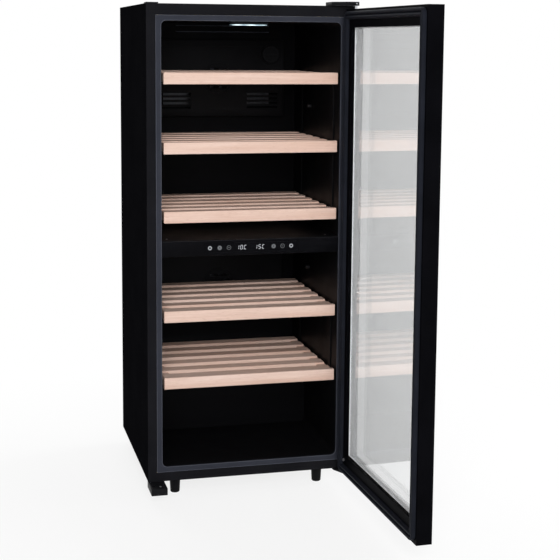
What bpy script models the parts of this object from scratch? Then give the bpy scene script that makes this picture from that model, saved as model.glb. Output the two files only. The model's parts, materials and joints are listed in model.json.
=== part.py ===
"""Free-standing two-zone wine cooler with a glass door, five sliding shelves and four levelling feet.

Metres, +Z up. Everything is drawn in cabinet coordinates: X = 0 is the middle of the cabinet, Y = 0 its
front plane (Y grows to the rear) and Z = 0 the floor. The door is drawn closed and turned about its
hinge axis. One empty then moves the whole model so that the origin is the middle of its footprint.
"""
import math

import bmesh
import bpy
from mathutils import Matrix, Vector

# ---------------------------------------------------------------- driving dimensions
GAP = 0.0003                   # running gap between touching pieces
PAST = 0.020                   # how far a cutter runs past the face that it opens

CABINET_WIDTH = 0.595
CABINET_DEPTH = 0.550
CABINET_HEIGHT = 1.346         # without the feet
FOOT_HEIGHT = 0.050
SHEET = 0.001                  # steel wrapper
RIM_SIDE = 0.0255              # steel front band beside, above and below the liner's flange
RIM_TOP = 0.0305
RIM_BOTTOM = 0.026
FLANGE_WIDTH = 0.0155          # front flange of the liner
FLANGE_CORNER = 0.002
LINER = 0.002
LINER_CORNER = 0.015           # radius of the cavity's corners
REAR_WALL = 0.045              # the cavity's rear to the cabinet's rear
MACHINE_DEPTH = 0.160          # compressor compartment, behind and below
MACHINE_HEIGHT = 0.185
MACHINE_WALL = 0.040           # foam between that compartment and the cavity

DIVIDER_DROP = 0.6101          # the cavity's ceiling to the top of the divider
DIVIDER_HEIGHT = 0.0443
DIVIDER_SKIN = 0.008           # above and below the pocket for the circuit board
DIVIDER_SHELL = 0.003          # wall of the divider's hollow rear part
DIVIDER_HEAD = 0.045           # solid front part, behind the fascia
FASCIA_DEPTH = 0.012
FASCIA_EDGE = 0.0012
DISPLAY_WIDTH = 0.270
DISPLAY_HEIGHT = 0.026
DISPLAY_THICKNESS = 0.0015
DISPLAY_SETBACK = 0.0002
DISPLAY_LAND = (0.010, 0.004)  # seat of the display at its ends and along its edges
CIRCUIT_MARGIN = 0.002         # display's edge to the circuit board's edge
CIRCUIT_THICKNESS = 0.0019

TOP_SHELF_DROP = (0.1736, 0.1876)     # zone's ceiling to the underside of its first shelf: upper, lower
LAST_SHELF_LIFT = (0.0504, 0.0415)    # divider or floor step to the underside of the zone's last shelf
SHELF_COUNT = (3, 2)
SHELF_CLEARANCE = 0.007        # shelf to the cavity's side
SHELF_SETBACK = 0.002
BOARD_HEIGHT = 0.0326
BOARD_THICKNESS = 0.018
BOARD_EDGE = 0.0015
SHELF_REAR_SPACE = 0.012       # from the deck's rear edge to the air ducts
DECK_LIFT = 0.006              # the deck's underside above the board's lower edge
STRINGER = (0.026, 0.018)      # width, height
SLAT = (0.042, 0.010)
SLAT_INSET = 0.002             # slat ends from the deck's sides
SLAT_COUNT = 6

RAIL_THICKNESS = 0.0025
RAIL_POST_WIDTH = 0.030
RAIL_FRONT_POST = 0.060        # the front post's place behind the front plane
RAIL_REAR_POST = 0.0507        # the rear post's front edge ahead of the deck's rear edge
RAIL_LEDGE_HEIGHT = 0.003
RAIL_LEDGE_REACH = 0.016
RAIL_LEDGE_START = 0.004       # behind the deck's front edge
RAIL_ABOVE = 0.030             # post above the zone's top shelf
RAIL_BELOW = 0.015             # post below its last shelf

DOOR_THICKNESS = 0.042
DOOR_GAP = 0.012               # door to cabinet, filled by the gasket
DOOR_LIFT = 0.004              # door above the cabinet's lower edge
DOOR_TOP_DROP = 0.010          # door below the cabinet's upper edge
DOOR_OPEN_DEG = 91.6
HINGE_INSET = 0.010            # hinge axis from the door's edge
HINGE_DEPTH = 0.025            # hinge axis from the door's inner face
DOOR_LIP_SIDE = 0.046          # visible frame round the glass
DOOR_LIP_TOP = 0.050
DOOR_LIP_BOTTOM = 0.056
DOOR_LIP_DEPTH = 0.012
GLASS_POCKET = 0.012           # how far the frame overlaps the inner pane
GLASS = 0.004
SPACER_WIDTH = 0.010
OUTER_GLASS_INSET = 0.010
GASKET_INSET = 0.006
GASKET_WIDTH = 0.023
GASKET_CORNER = 0.020
GASKET_INNER_CORNER = 0.010
GASKET_CLEARANCE = 0.0006      # lets the corner of the gasket swing past the cabinet
PEG_INSET = (0.037, 0.042)     # door plug from the hinge edge and from the door's lower edge
PEG = (0.004, 0.004)           # radius, height
PEG_EDGE = 0.001

PIN_RADIUS = 0.004
PIN_EDGE = 0.001
PIN_ENGAGEMENT = 0.014
PIN_END_SPACE = 0.001          # beyond the pin, in the door's bore
PIN_HEAD = (0.0055, 0.0035)    # radius, height
HINGE_SHEET = 0.003
TOP_HINGE_WIDTH = 0.073
TOP_HINGE_BACK = 0.050
TOP_HINGE_TIP = 0.034          # width of the cover at its front
TOP_HINGE_SHOULDER = 0.012     # where the cover starts to narrow
TOP_COVER_HEIGHT = 0.0105
TOP_COVER_WALL = 0.003
TOP_COVER_ROOF = 0.002
TOP_COVER_EDGE = 0.0012
HINGE_SIDE_GAP = 0.001         # hinge plates from the cabinet's side
BOTTOM_PLATE = 0.005
BOTTOM_HINGE_WIDTH = 0.048
BOTTOM_HINGE_TIP = 0.022
BOTTOM_HINGE_REACH = 0.052
BOTTOM_HINGE_BACK = 0.035
BOTTOM_HINGE_EDGE = 0.0008
COLLAR_RADIUS = 0.008
RIVET = (0.006, 0.003)         # head under the lower plate: radius, height
SPARE_BLOCK = (0.046, 0.059, 0.021)   # width, reach ahead of the front plane, height
SPARE_BLOCK_BACK = 0.020
SPARE_HOLE_DEPTH = 0.012
CORNER_CAP = (0.0335, 0.0435, 0.003)
CAP_INSET = 0.0005

FOOT_INSET = 0.085             # foot axis from the cabinet's side
FRONT_FOOT = 0.050             # foot axes from the front plane and from the rear
REAR_FOOT = 0.045
FOOT_RADIUS = 0.0155
FOOT_BAND = 0.010              # straight upper part
FOOT_SOLE_RADIUS = 0.0135
FOOT_EDGE = 0.002
STUD_RADIUS = 0.004
STUD_LENGTH = 0.024
STUD_EDGE = 0.001

DUCT_MARGIN = 0.0465           # cover to the cavity's side
DUCT_HEIGHT = 0.240
DUCT_DEPTH = 0.042
DUCT_DROP = 0.050              # cover below its zone's ceiling
DUCT_WALL = 0.002
DUCT_EDGE = 0.004
FAN_RADIUS = 0.040
FAN_RING = 0.003
FAN_RING_DEPTH = 0.024
FAN_GAP = 0.002
FAN_SLOT = (0.008, 0.014)      # height, pitch
FAN_SLOT_COUNT = 5
SIDE_SLOT = (0.007, 0.014)
SIDE_SLOT_COUNT = 4
SIDE_SLOT_REACH = (0.090, 0.190)
SIDE_SLOT_LIFT = 0.028         # lowest slot above the cover's lower edge
BLADE_COUNT = 7
BLADE = (0.0015, 0.017)        # thickness, chord
BLADE_PITCH_DEG = 28
BLADE_ROOT = 0.003             # how deep a blade stands in the hub
HUB_LEAD = 0.001
MOTOR_RADIUS = 0.015
MOTOR_DEPTH = 0.012
MOTOR_ARM = (0.004, 0.008)     # thickness, width
SHAFT_RADIUS = 0.0015
SHAFT_REACH = 0.007            # into the motor
EVAPORATOR_MARGIN = (0.040, 0.030)    # inside the duct cover: sides, top and bottom
EVAPORATOR_SHEET = 0.003
CHANNEL = (0.008, 0.003)       # raised refrigerant channels: height, thickness
CHANNEL_COUNT = 5
CHANNEL_INSET = 0.020
FILTER_RADIUS = 0.030
FILTER_DEPTH = 0.010
FILTER_EDGE = 0.003
FILTER_INSET = 0.045           # filter's axis from the duct cover's edges
LAMP = (0.110, 0.026, 0.006)   # width, depth, height
LAMP_SETBACK = 0.036
LAMP_EDGE = 0.0015
PROBE_RADIUS = 0.006
PROBE_LENGTH = 0.014
PROBE_EDGE = 0.002
PROBE_PLACE = 0.300            # behind the front plane
PROBE_DROP = (0.250, 0.0956)   # below the zone's ceiling: upper, lower

MACHINE_PLATE = (0.300, 0.130, 0.002)
MACHINE_PLATE_PLACE = 0.020    # its middle, to the right of the cabinet's
COMPRESSOR_PLACE = (0.095, -0.002)    # from the middle of the compartment
COMPRESSOR_RADIUS = 0.056
COMPRESSOR_HEIGHT = 0.118
COMPRESSOR_BASE = (0.152, 0.060, 0.003)
RUBBER_FOOT = (0.007, 0.008)   # radius, height
RUBBER_FOOT_INSET = 0.010
RELAY = (0.026, 0.044, 0.040)
RELAY_LIFT = 0.045
DRIP_TRAY = (0.120, 0.090, 0.022)
DRIP_TRAY_PLACE = -0.085
DRIP_TRAY_WALL = 0.002
DRIER_PLACE = -0.200
DRIER_RADIUS = 0.009
DRIER_NECK = 0.003
DRIER_LENGTH = 0.100
DRIER_TAPER = 0.020
VENT_START = -0.210            # slots in the machine compartment's cover
VENT = (0.070, 0.007)          # width, height of a slot
VENT_PITCH = (0.095, 0.018)
VENT_COUNT = (4, 7)
VENT_LIFT = 0.040
CONDENSER_TUBE = 0.0025
CONDENSER_RUNS = 14
CONDENSER_MARGIN = 0.0775      # coil to the cabinet's side
CONDENSER_FOOT = 0.095         # coil above the machine compartment and below the top
CONDENSER_HEAD = 0.286
INLET = (0.050, 0.014, 0.032)  # mains inlet: width, depth, height
INLET_PLACE = (0.225, 0.030)   # from the middle, and below the compartment's top
INLET_WALL = (0.012, 0.002, 0.007)

# ---------------------------------------------------------------- derived places
SIDE = CABINET_WIDTH / 2
INSIDE = SIDE - SHEET - GAP
BOTTOM = FOOT_HEIGHT
TOP = FOOT_HEIGHT + CABINET_HEIGHT
FLANGE_SIDE = SIDE - RIM_SIDE
FLANGE_TOP = TOP - RIM_TOP
FLANGE_BOTTOM = BOTTOM + RIM_BOTTOM
CAVITY_SIDE = FLANGE_SIDE - FLANGE_WIDTH
CAVITY_TOP = FLANGE_TOP - FLANGE_WIDTH
CAVITY_FLOOR = FLANGE_BOTTOM + FLANGE_WIDTH
CAVITY_BACK = CABINET_DEPTH - REAR_WALL
MACHINE_TOP = BOTTOM + MACHINE_HEIGHT
MACHINE_FRONT = CABINET_DEPTH - MACHINE_DEPTH
MACHINE_MIDDLE = (MACHINE_FRONT + CABINET_DEPTH) / 2
MACHINE_FLOOR = BOTTOM + SHEET + GAP
HUMP_TOP = MACHINE_TOP + MACHINE_WALL
HUMP_FRONT = MACHINE_FRONT - MACHINE_WALL
DIVIDER_TOP = CAVITY_TOP - DIVIDER_DROP
DIVIDER_BOTTOM = DIVIDER_TOP - DIVIDER_HEIGHT
DIVIDER_MIDDLE = (DIVIDER_BOTTOM + DIVIDER_TOP) / 2
ZONES = ("upper", "lower")
ZONE_CEILING = (CAVITY_TOP, DIVIDER_BOTTOM)
ZONE_FLOOR = (DIVIDER_TOP, HUMP_TOP)
DUCT_HALF = CAVITY_SIDE - DUCT_MARGIN
DUCT_FRONT = CAVITY_BACK - GAP - DUCT_DEPTH
DUCT_BACK = CAVITY_BACK - GAP
SHELF_HALF = CAVITY_SIDE - SHELF_CLEARANCE
SHELF_BACK = DUCT_FRONT - SHELF_REAR_SPACE
DECK_FRONT = SHELF_SETBACK + BOARD_THICKNESS + GAP
DOOR_INNER = -DOOR_GAP
DOOR_OUTER = -DOOR_GAP - DOOR_THICKNESS
DOOR_BOTTOM = BOTTOM + DOOR_LIFT
DOOR_TOP = TOP - DOOR_TOP_DROP
HINGE = Vector((SIDE - HINGE_INSET, DOOR_INNER - HINGE_DEPTH, 0))
MIDDLE = Vector((0, 0, 0))
REAR_MOST = CABINET_DEPTH + GAP + INLET[1]
FOOT_PLACES = {
    "front_left": (-SIDE + FOOT_INSET, FRONT_FOOT),
    "front_right": (SIDE - FOOT_INSET, FRONT_FOOT),
    "rear_left": (-SIDE + FOOT_INSET, CABINET_DEPTH - REAR_FOOT),
    "rear_right": (SIDE - FOOT_INSET, CABINET_DEPTH - REAR_FOOT),
}


def shelf_bottoms(zone):
    """Evenly spaced undersides of a zone's shelves, from the top one down."""
    first = ZONE_CEILING[zone] - TOP_SHELF_DROP[zone]
    last = ZONE_FLOOR[zone] + LAST_SHELF_LIFT[zone]
    steps = SHELF_COUNT[zone] - 1
    return [first + (last - first) * step / steps for step in range(steps + 1)]


# ---------------------------------------------------------------- scene and helpers
for old in list(bpy.data.objects):
    bpy.data.objects.remove(old, do_unlink=True)

PARTS = bpy.data.collections.new("wine_cooler")
CUTTERS = bpy.data.collections.new("cutters")
bpy.context.scene.collection.children.link(PARTS)
bpy.context.scene.collection.children.link(CUTTERS)


def empty(name, place, parent=None, turn=0.0):
    """A frame that pieces hang on; place is in its parent's coordinates."""
    frame = bpy.data.objects.new(name, None)
    frame.location = place
    frame.rotation_euler.z = turn
    frame.parent = parent
    PARTS.objects.link(frame)
    return frame


def door_corner(face):
    """The free-end corner of the open door on its inner or outer face, in cabinet coordinates."""
    corner = Vector((-SIDE, face, 0)) - HINGE
    return HINGE + Matrix.Rotation(math.radians(DOOR_OPEN_DEG), 3, "Z") @ corner


FOOTPRINT_X = (-SIDE, door_corner(DOOR_OUTER).x)
FOOTPRINT_Y = (door_corner(DOOR_INNER).y, REAR_MOST)
CABINET = empty("cabinet_frame", (-sum(FOOTPRINT_X) / 2, -sum(FOOTPRINT_Y) / 2, 0))
DOOR = empty("door_frame_axis", HINGE, CABINET, math.radians(DOOR_OPEN_DEG))


def look(name, colour, roughness, metallic=0.0):
    material = bpy.data.materials.new(name)
    material.use_nodes = True
    shader = material.node_tree.nodes["Principled BSDF"]
    shader.inputs["Base Color"].default_value = (*colour, 1)
    shader.inputs["Roughness"].default_value = roughness
    shader.inputs["Metallic"].default_value = metallic
    return material


BLACK = (0.012, 0.012, 0.014)
CHARCOAL = (0.025, 0.026, 0.029)
BLUE_GREY = (0.060, 0.068, 0.088)
BEECH = (0.780, 0.600, 0.440)
STEEL = (0.620, 0.620, 0.640)
COPPER = (0.720, 0.380, 0.230)


def add(name, mesh, material, frame=CABINET, origin=MIDDLE):
    """A part: its mesh is in cabinet coordinates and hangs on a frame that stands at origin."""
    part = bpy.data.objects.new(name, mesh)
    mesh.materials.append(material)
    part.parent = frame
    part.location = -Vector(origin)
    PARTS.objects.link(part)
    return part


def guide(name, mesh):
    """A shape that cuts or joins another and isn't a part itself."""
    helper = bpy.data.objects.new(name, mesh)
    helper.hide_render = True
    helper.display_type = "WIRE"
    CUTTERS.objects.link(helper)
    return helper


def boolean(part, helper, operation):
    modifier = part.modifiers.new(helper.name, "BOOLEAN")
    modifier.operation = operation
    modifier.solver = "EXACT"
    modifier.object = helper


def combine(part, mesh, operation, name):
    helper = guide(f"{part.name}_{name}", mesh)
    helper.parent = part.parent
    helper.location = part.location
    boolean(part, helper, operation)


def cut(part, mesh, name):
    combine(part, mesh, "DIFFERENCE", name)


def join(part, mesh, name):
    combine(part, mesh, "UNION", name)


def bevel(part, width, segments=2):
    modifier = part.modifiers.new("rounded", "BEVEL")
    modifier.width = width
    modifier.segments = segments
    modifier.limit_method = "ANGLE"
    modifier.angle_limit = math.radians(40)


def smooth(part, degrees=35):
    part.data.shade_smooth()
    part.data.set_sharp_from_angle(angle=math.radians(degrees))


def evaluated_mesh(source, name):
    """The mesh of a curve or of an object with modifiers, welded; the object itself is removed."""
    bpy.context.scene.collection.objects.link(source)
    bpy.context.view_layer.update()
    depsgraph = bpy.context.evaluated_depsgraph_get()
    mesh = bpy.data.meshes.new_from_object(source.evaluated_get(depsgraph))
    mesh.transform(source.matrix_world)
    mesh.materials.clear()
    bpy.data.objects.remove(source, do_unlink=True)
    bm = bmesh.new()
    bm.from_mesh(mesh)
    bmesh.ops.remove_doubles(bm, verts=bm.verts, dist=0.00001)
    bmesh.ops.recalc_face_normals(bm, faces=bm.faces)
    bm.to_mesh(mesh)
    bm.free()
    mesh.name = name
    return mesh


def without(name, mesh, removed):
    """What is left of a mesh when another is taken out of it."""
    whole = bpy.data.objects.new(name, mesh)
    helper = guide(f"{name}_removed", removed)
    boolean(whole, helper, "DIFFERENCE")
    rest = evaluated_mesh(whole, name)
    bpy.data.objects.remove(helper, do_unlink=True)
    return rest


def new_mesh(bm, name):
    mesh = bpy.data.meshes.new(name)
    bm.to_mesh(mesh)
    bm.free()
    return mesh


def boxes(name, *extents):
    """Boxes between pairs of coordinates."""
    bm = bmesh.new()
    for extent in extents:
        size = [high - low for low, high in extent]
        middle = [(high + low) / 2 for low, high in extent]
        bmesh.ops.create_cube(bm, size=1, matrix=Matrix.Translation(middle) @ Matrix.Diagonal((*size, 1)))
    return new_mesh(bm, name)


def about(middle, size):
    """The two ends of a length that lies evenly about a middle."""
    return (middle - size / 2, middle + size / 2)


AXIS_TURN = {
    "X": Matrix.Rotation(math.pi / 2, 4, "Y"),
    "Y": Matrix.Rotation(-math.pi / 2, 4, "X"),
    "Z": Matrix(),
}


def cylinders(name, axis, radius, start, length, centres, segments=24):
    """Equal cylinders along an axis; each centre gives the other two coordinates."""
    bm = bmesh.new()
    middle = start + length / 2
    for a, b in centres:
        place = {"X": (middle, a, b), "Y": (a, middle, b), "Z": (a, b, middle)}[axis]
        bmesh.ops.create_cone(bm, cap_ends=True, segments=segments, radius1=radius, radius2=radius,
                              depth=length, matrix=Matrix.Translation(place) @ AXIS_TURN[axis])
    return new_mesh(bm, name)


def rounded_outline(low, high, radius, steps=5):
    """A rectangle between two corners, with rounded corners, anticlockwise."""
    points = []
    for quarter, (a, b) in enumerate(((1, 1), (0, 1), (0, 0), (1, 0))):
        middle = (high[0] - radius if a else low[0] + radius, high[1] - radius if b else low[1] + radius)
        for step in range(steps + 1):
            angle = (quarter + step / steps) * math.pi / 2
            points.append((middle[0] + radius * math.cos(angle), middle[1] + radius * math.sin(angle)))
    return points


def extruded(name, outline, axis, low, high):
    """A flat outline made solid along Y or Z. Its two coordinates are XZ or XY."""
    curve = bpy.data.curves.new(name, "CURVE")
    curve.dimensions = "2D"
    curve.fill_mode = "BOTH"
    curve.extrude = (high - low) / 2
    spline = curve.splines.new("POLY")
    spline.points.add(len(outline) - 1)
    for point, (a, b) in zip(spline.points, outline):
        point.co = (a, b, 0, 1)
    spline.use_cyclic_u = True
    solid = bpy.data.objects.new(name, curve)
    middle = (low + high) / 2
    if axis == "Y":
        solid.matrix_world = Matrix.Translation((0, middle, 0)) @ Matrix.Rotation(math.pi / 2, 4, "X")
    else:
        solid.matrix_world = Matrix.Translation((0, 0, middle))
    return evaluated_mesh(solid, name)


def tube(name, points, radius):
    curve = bpy.data.curves.new(name, "CURVE")
    curve.dimensions = "3D"
    curve.bevel_depth = radius
    curve.bevel_resolution = 2
    curve.use_fill_caps = True
    spline = curve.splines.new("POLY")
    spline.points.add(len(points) - 1)
    for point, place in zip(spline.points, points):
        point.co = (*place, 1)
    return evaluated_mesh(bpy.data.objects.new(name, curve), name)


def turned(name, profile, axis, centre, steps=24):
    """A solid turned about an axis through centre. The profile is (radius, distance along the axis)."""
    bm = bmesh.new()
    points = [bm.verts.new((radius, 0, along)) for radius, along in profile]
    for pair in zip(points, points[1:]):
        bm.edges.new(pair)
    if profile[0][0] > 0:
        bm.edges.new((points[-1], points[0]))
    solid = bpy.data.objects.new(name, new_mesh(bm, name))
    screw = solid.modifiers.new("turned", "SCREW")
    screw.axis = "Z"
    screw.steps = steps
    screw.render_steps = steps
    screw.use_merge_vertices = True
    screw.merge_threshold = 0.00001
    solid.matrix_world = Matrix.Translation(centre) @ AXIS_TURN[axis]
    return evaluated_mesh(solid, name)


# ---------------------------------------------------------------- cabinet
def stud_holes(length):
    return cylinders("studs", "Z", STUD_RADIUS + GAP, BOTTOM - PAST, PAST + length, FOOT_PLACES.values(), 16)


def make_outer_casing():
    block = boxes("outer_casing", ((-SIDE, SIDE), (0, CABINET_DEPTH), (BOTTOM, TOP)))
    part = add("outer_casing", block, look("casing_black", BLACK, 0.45))
    inner = SIDE - SHEET
    hollow = ((-inner, inner), (SHEET, CABINET_DEPTH + PAST), (BOTTOM + SHEET, TOP - SHEET))
    cut(part, boxes("hollow", hollow), "hollow")
    opening = ((-FLANGE_SIDE, FLANGE_SIDE), (-PAST, PAST), (FLANGE_BOTTOM, FLANGE_TOP))
    cut(part, boxes("opening", opening), "opening")
    cut(part, stud_holes(PAST), "studs")


def cavity_space(name, growth, y_low, y_high):
    """The cavity's rounded space above its rear step, grown outwards all round."""
    low = (-CAVITY_SIDE - growth, CAVITY_FLOOR - growth)
    high = (CAVITY_SIDE + growth, CAVITY_TOP + growth)
    block = extruded(name, rounded_outline(low, high, LINER_CORNER + growth), "Y", y_low, y_high)
    wide = SIDE + PAST
    step = ((-wide, wide), (HUMP_FRONT + growth, CABINET_DEPTH + PAST), (BOTTOM - PAST, HUMP_TOP - growth))
    return without(name, block, boxes("step", step))


def make_insulation():
    block = boxes("insulation_foam", ((-INSIDE, INSIDE), (SHEET + GAP, CABINET_DEPTH - SHEET - 2 * GAP),
                                      (MACHINE_FLOOR, TOP - SHEET - GAP)))
    part = add("insulation_foam", block, look("foam_cream", (0.72, 0.66, 0.46), 0.9))
    around = LINER + GAP
    cut(part, cavity_space("cavity", around, -PAST, CAVITY_BACK + around), "cavity")
    wide = FLANGE_SIDE + GAP
    flange = ((-wide, wide), (-PAST, around), (FLANGE_BOTTOM - GAP, FLANGE_TOP + GAP))
    cut(part, boxes("flange", flange), "flange")
    compartment = ((-SIDE, SIDE), (MACHINE_FRONT, CABINET_DEPTH + PAST), (BOTTOM - PAST, MACHINE_TOP))
    cut(part, boxes("compartment", compartment), "compartment")
    cut(part, stud_holes(STUD_LENGTH + 2 * GAP), "studs")


def make_inner_liner():
    shell = cavity_space("inner_liner", LINER, LINER / 2, CAVITY_BACK + LINER)
    part = add("inner_liner", shell, look("liner_black", CHARCOAL, 0.5))
    low = (-FLANGE_SIDE + GAP, FLANGE_BOTTOM + GAP)
    high = (FLANGE_SIDE - GAP, FLANGE_TOP - GAP)
    flange = extruded("flange", rounded_outline(low, high, FLANGE_CORNER, 2), "Y", 0.0, LINER)
    join(part, flange, "flange")
    cut(part, cavity_space("space", 0.0, -PAST, CAVITY_BACK), "space")


def make_back_panel():
    sheet = ((-INSIDE, INSIDE), (CABINET_DEPTH - SHEET, CABINET_DEPTH),
             (MACHINE_TOP + GAP, TOP - SHEET - GAP))
    add("back_panel", boxes("back_panel", sheet), look("back_steel", (0.16, 0.16, 0.17), 0.5, 0.6))


def make_zone_divider():
    wide = CAVITY_SIDE - GAP
    block = ((-wide, wide), (FASCIA_DEPTH + GAP, CAVITY_BACK - GAP), (DIVIDER_BOTTOM, DIVIDER_TOP))
    part = add("zone_divider", boxes("zone_divider", block), look("divider_black", CHARCOAL, 0.5))
    pocket = (about(0, DISPLAY_WIDTH), (0, FASCIA_DEPTH + PAST),
              (DIVIDER_BOTTOM + DIVIDER_SKIN, DIVIDER_TOP - DIVIDER_SKIN))
    cut(part, boxes("pocket", pocket), "pocket")
    inner = wide - DIVIDER_SHELL
    hollow = ((-inner, inner), (DIVIDER_HEAD, CAVITY_BACK + PAST),
              (DIVIDER_BOTTOM + DIVIDER_SHELL, DIVIDER_TOP - DIVIDER_SHELL))
    cut(part, boxes("hollow", hollow), "hollow")


def make_control_fascia():
    wide = CAVITY_SIDE - GAP
    front = ((-wide, wide), (0.0, FASCIA_DEPTH), (DIVIDER_BOTTOM, DIVIDER_TOP))
    part = add("control_fascia", boxes("control_fascia", front), look("fascia_black", BLACK, 0.35))
    bevel(part, FASCIA_EDGE, 2)
    width = DISPLAY_WIDTH + 2 * GAP
    height = DISPLAY_HEIGHT + 2 * GAP
    recess = (about(0, width), (-PAST, DISPLAY_THICKNESS + GAP), about(DIVIDER_MIDDLE, height))
    cut(part, boxes("recess", recess), "recess")
    land_x, land_z = DISPLAY_LAND
    window = (about(0, width - 2 * land_x), (-PAST, FASCIA_DEPTH + PAST),
              about(DIVIDER_MIDDLE, height - 2 * land_z))
    cut(part, boxes("window", window), "window")


def make_display():
    pane = (about(0, DISPLAY_WIDTH), (DISPLAY_SETBACK, DISPLAY_THICKNESS),
            about(DIVIDER_MIDDLE, DISPLAY_HEIGHT))
    add("display_window", boxes("display_window", pane), look("display_gloss", (0.008, 0.008, 0.010), 0.12))
    start = FASCIA_DEPTH + GAP
    circuit = (about(0, DISPLAY_WIDTH - 2 * CIRCUIT_MARGIN), (start, start + CIRCUIT_THICKNESS),
               about(DIVIDER_MIDDLE, DISPLAY_HEIGHT - 2 * CIRCUIT_MARGIN))
    add("control_board", boxes("control_board", circuit), look("board_green", (0.02, 0.16, 0.07), 0.5))


def make_lamp(zone):
    width, depth, height = LAMP
    top = ZONE_CEILING[zone] - GAP
    name = f"{ZONES[zone]}_lamp"
    bar = (about(0, width), (LAMP_SETBACK, LAMP_SETBACK + depth), (top - height, top))
    part = add(name, boxes(name, bar), look(f"{name}_lens", (0.85, 0.92, 1.0), 0.3))
    bevel(part, LAMP_EDGE, 2)


def make_side_rail(zone, side, sign):
    """A ladder of ledges on a liner wall, one ledge for each shelf of the zone."""
    bottoms = shelf_bottoms(zone)
    wall = CAVITY_SIDE - GAP
    inner = wall - RAIL_THICKNESS
    reach = inner - RAIL_LEDGE_REACH

    def across(near, far):
        return tuple(sorted((sign * near, sign * far)))

    height = (min(bottoms) - RAIL_BELOW, max(bottoms) + RAIL_ABOVE)
    posts = [(across(inner, wall), (start, start + RAIL_POST_WIDTH), height)
             for start in (RAIL_FRONT_POST, SHELF_BACK - RAIL_REAR_POST)]
    name = f"{ZONES[zone]}_{side}_rail"
    part = add(name, boxes(name, *posts), look(f"{name}_black", CHARCOAL, 0.45))
    ledges = []
    for bottom in bottoms:
        seat = bottom + DECK_LIFT - GAP
        ledges.append((across(reach, wall - RAIL_THICKNESS / 3), (DECK_FRONT + RAIL_LEDGE_START, SHELF_BACK),
                       (seat - RAIL_LEDGE_HEIGHT, seat)))
    join(part, boxes("ledges", *ledges), "ledges")


# ---------------------------------------------------------------- shelves
def make_shelf(number, bottom):
    home = (0, 0, bottom)
    slide = empty(f"shelf_{number}_slide", home, CABINET)
    front = ((-SHELF_HALF, SHELF_HALF), (SHELF_SETBACK, SHELF_SETBACK + BOARD_THICKNESS),
             (bottom, bottom + BOARD_HEIGHT))
    board = add(f"shelf_{number}_front", boxes("board", front),
                look(f"shelf_{number}_front_beech", BEECH, 0.5), slide, home)
    bevel(board, BOARD_EDGE, 2)

    base = bottom + DECK_LIFT
    inner = SHELF_HALF - STRINGER[0]
    stringers = [(across, (DECK_FRONT, SHELF_BACK), (base, base + STRINGER[1]))
                 for across in ((-SHELF_HALF, -inner), (inner, SHELF_HALF))]
    deck = add(f"shelf_{number}_deck", boxes("deck", *stringers),
               look(f"shelf_{number}_deck_beech", BEECH, 0.55), slide, home)
    slat_half = SHELF_HALF - SLAT_INSET
    slat_base = base + STRINGER[1] - SLAT[1] / 2
    first = DECK_FRONT + SLAT_INSET
    pitch = (SHELF_BACK - SLAT_INSET - SLAT[0] - first) / (SLAT_COUNT - 1)
    slats = []
    for index in range(SLAT_COUNT):
        start = first + index * pitch
        slats.append(((-slat_half, slat_half), (start, start + SLAT[0]), (slat_base, slat_base + SLAT[1])))
    join(deck, boxes("slats", *slats), "slats")


# ---------------------------------------------------------------- air ducts and fans
def duct_span(zone):
    """Lower and upper edge of a zone's duct cover."""
    high = ZONE_CEILING[zone] - DUCT_DROP
    return high - DUCT_HEIGHT, high


def fan_centre(zone):
    return (0.0, sum(duct_span(zone)) / 2)


def duct_slots(zone):
    """Slots before the fan, shortened to its circle, and return slots low on both sides."""
    low = duct_span(zone)[0]
    centre = fan_centre(zone)[1]
    through = (DUCT_FRONT - PAST, DUCT_FRONT + 3 * DUCT_WALL)
    height, pitch = FAN_SLOT
    slots = []
    for row in range(FAN_SLOT_COUNT):
        rise = (row - (FAN_SLOT_COUNT - 1) / 2) * pitch
        reach = math.sqrt(FAN_RADIUS ** 2 - rise ** 2)
        slots.append(((-reach, reach), through, about(centre + rise, height)))
    height, pitch = SIDE_SLOT
    near, far = SIDE_SLOT_REACH
    for row in range(SIDE_SLOT_COUNT):
        rise = about(low + SIDE_SLOT_LIFT + row * pitch, height)
        slots.append(((-far, -near), through, rise))
        slots.append(((near, far), through, rise))
    return boxes("slots", *slots)


def make_duct_cover(zone):
    low, high = duct_span(zone)
    name = f"{ZONES[zone]}_duct_cover"
    block = ((-DUCT_HALF, DUCT_HALF), (DUCT_FRONT, DUCT_BACK + PAST), (low, high))
    cover = add(name, boxes(name, block), look(f"{name}_black", CHARCOAL, 0.5))
    bevel(cover, DUCT_EDGE, 2)
    behind = ((-SIDE, SIDE), (DUCT_BACK, DUCT_BACK + 2 * PAST), (low - PAST, high + PAST))
    cut(cover, boxes("behind", behind), "behind")
    inner = DUCT_HALF - DUCT_WALL
    hollow = ((-inner, inner), (DUCT_FRONT + DUCT_WALL, DUCT_BACK + PAST),
              (low + DUCT_WALL, high - DUCT_WALL))
    cut(cover, boxes("hollow", hollow), "hollow")
    cut(cover, duct_slots(zone), "slots")


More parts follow.
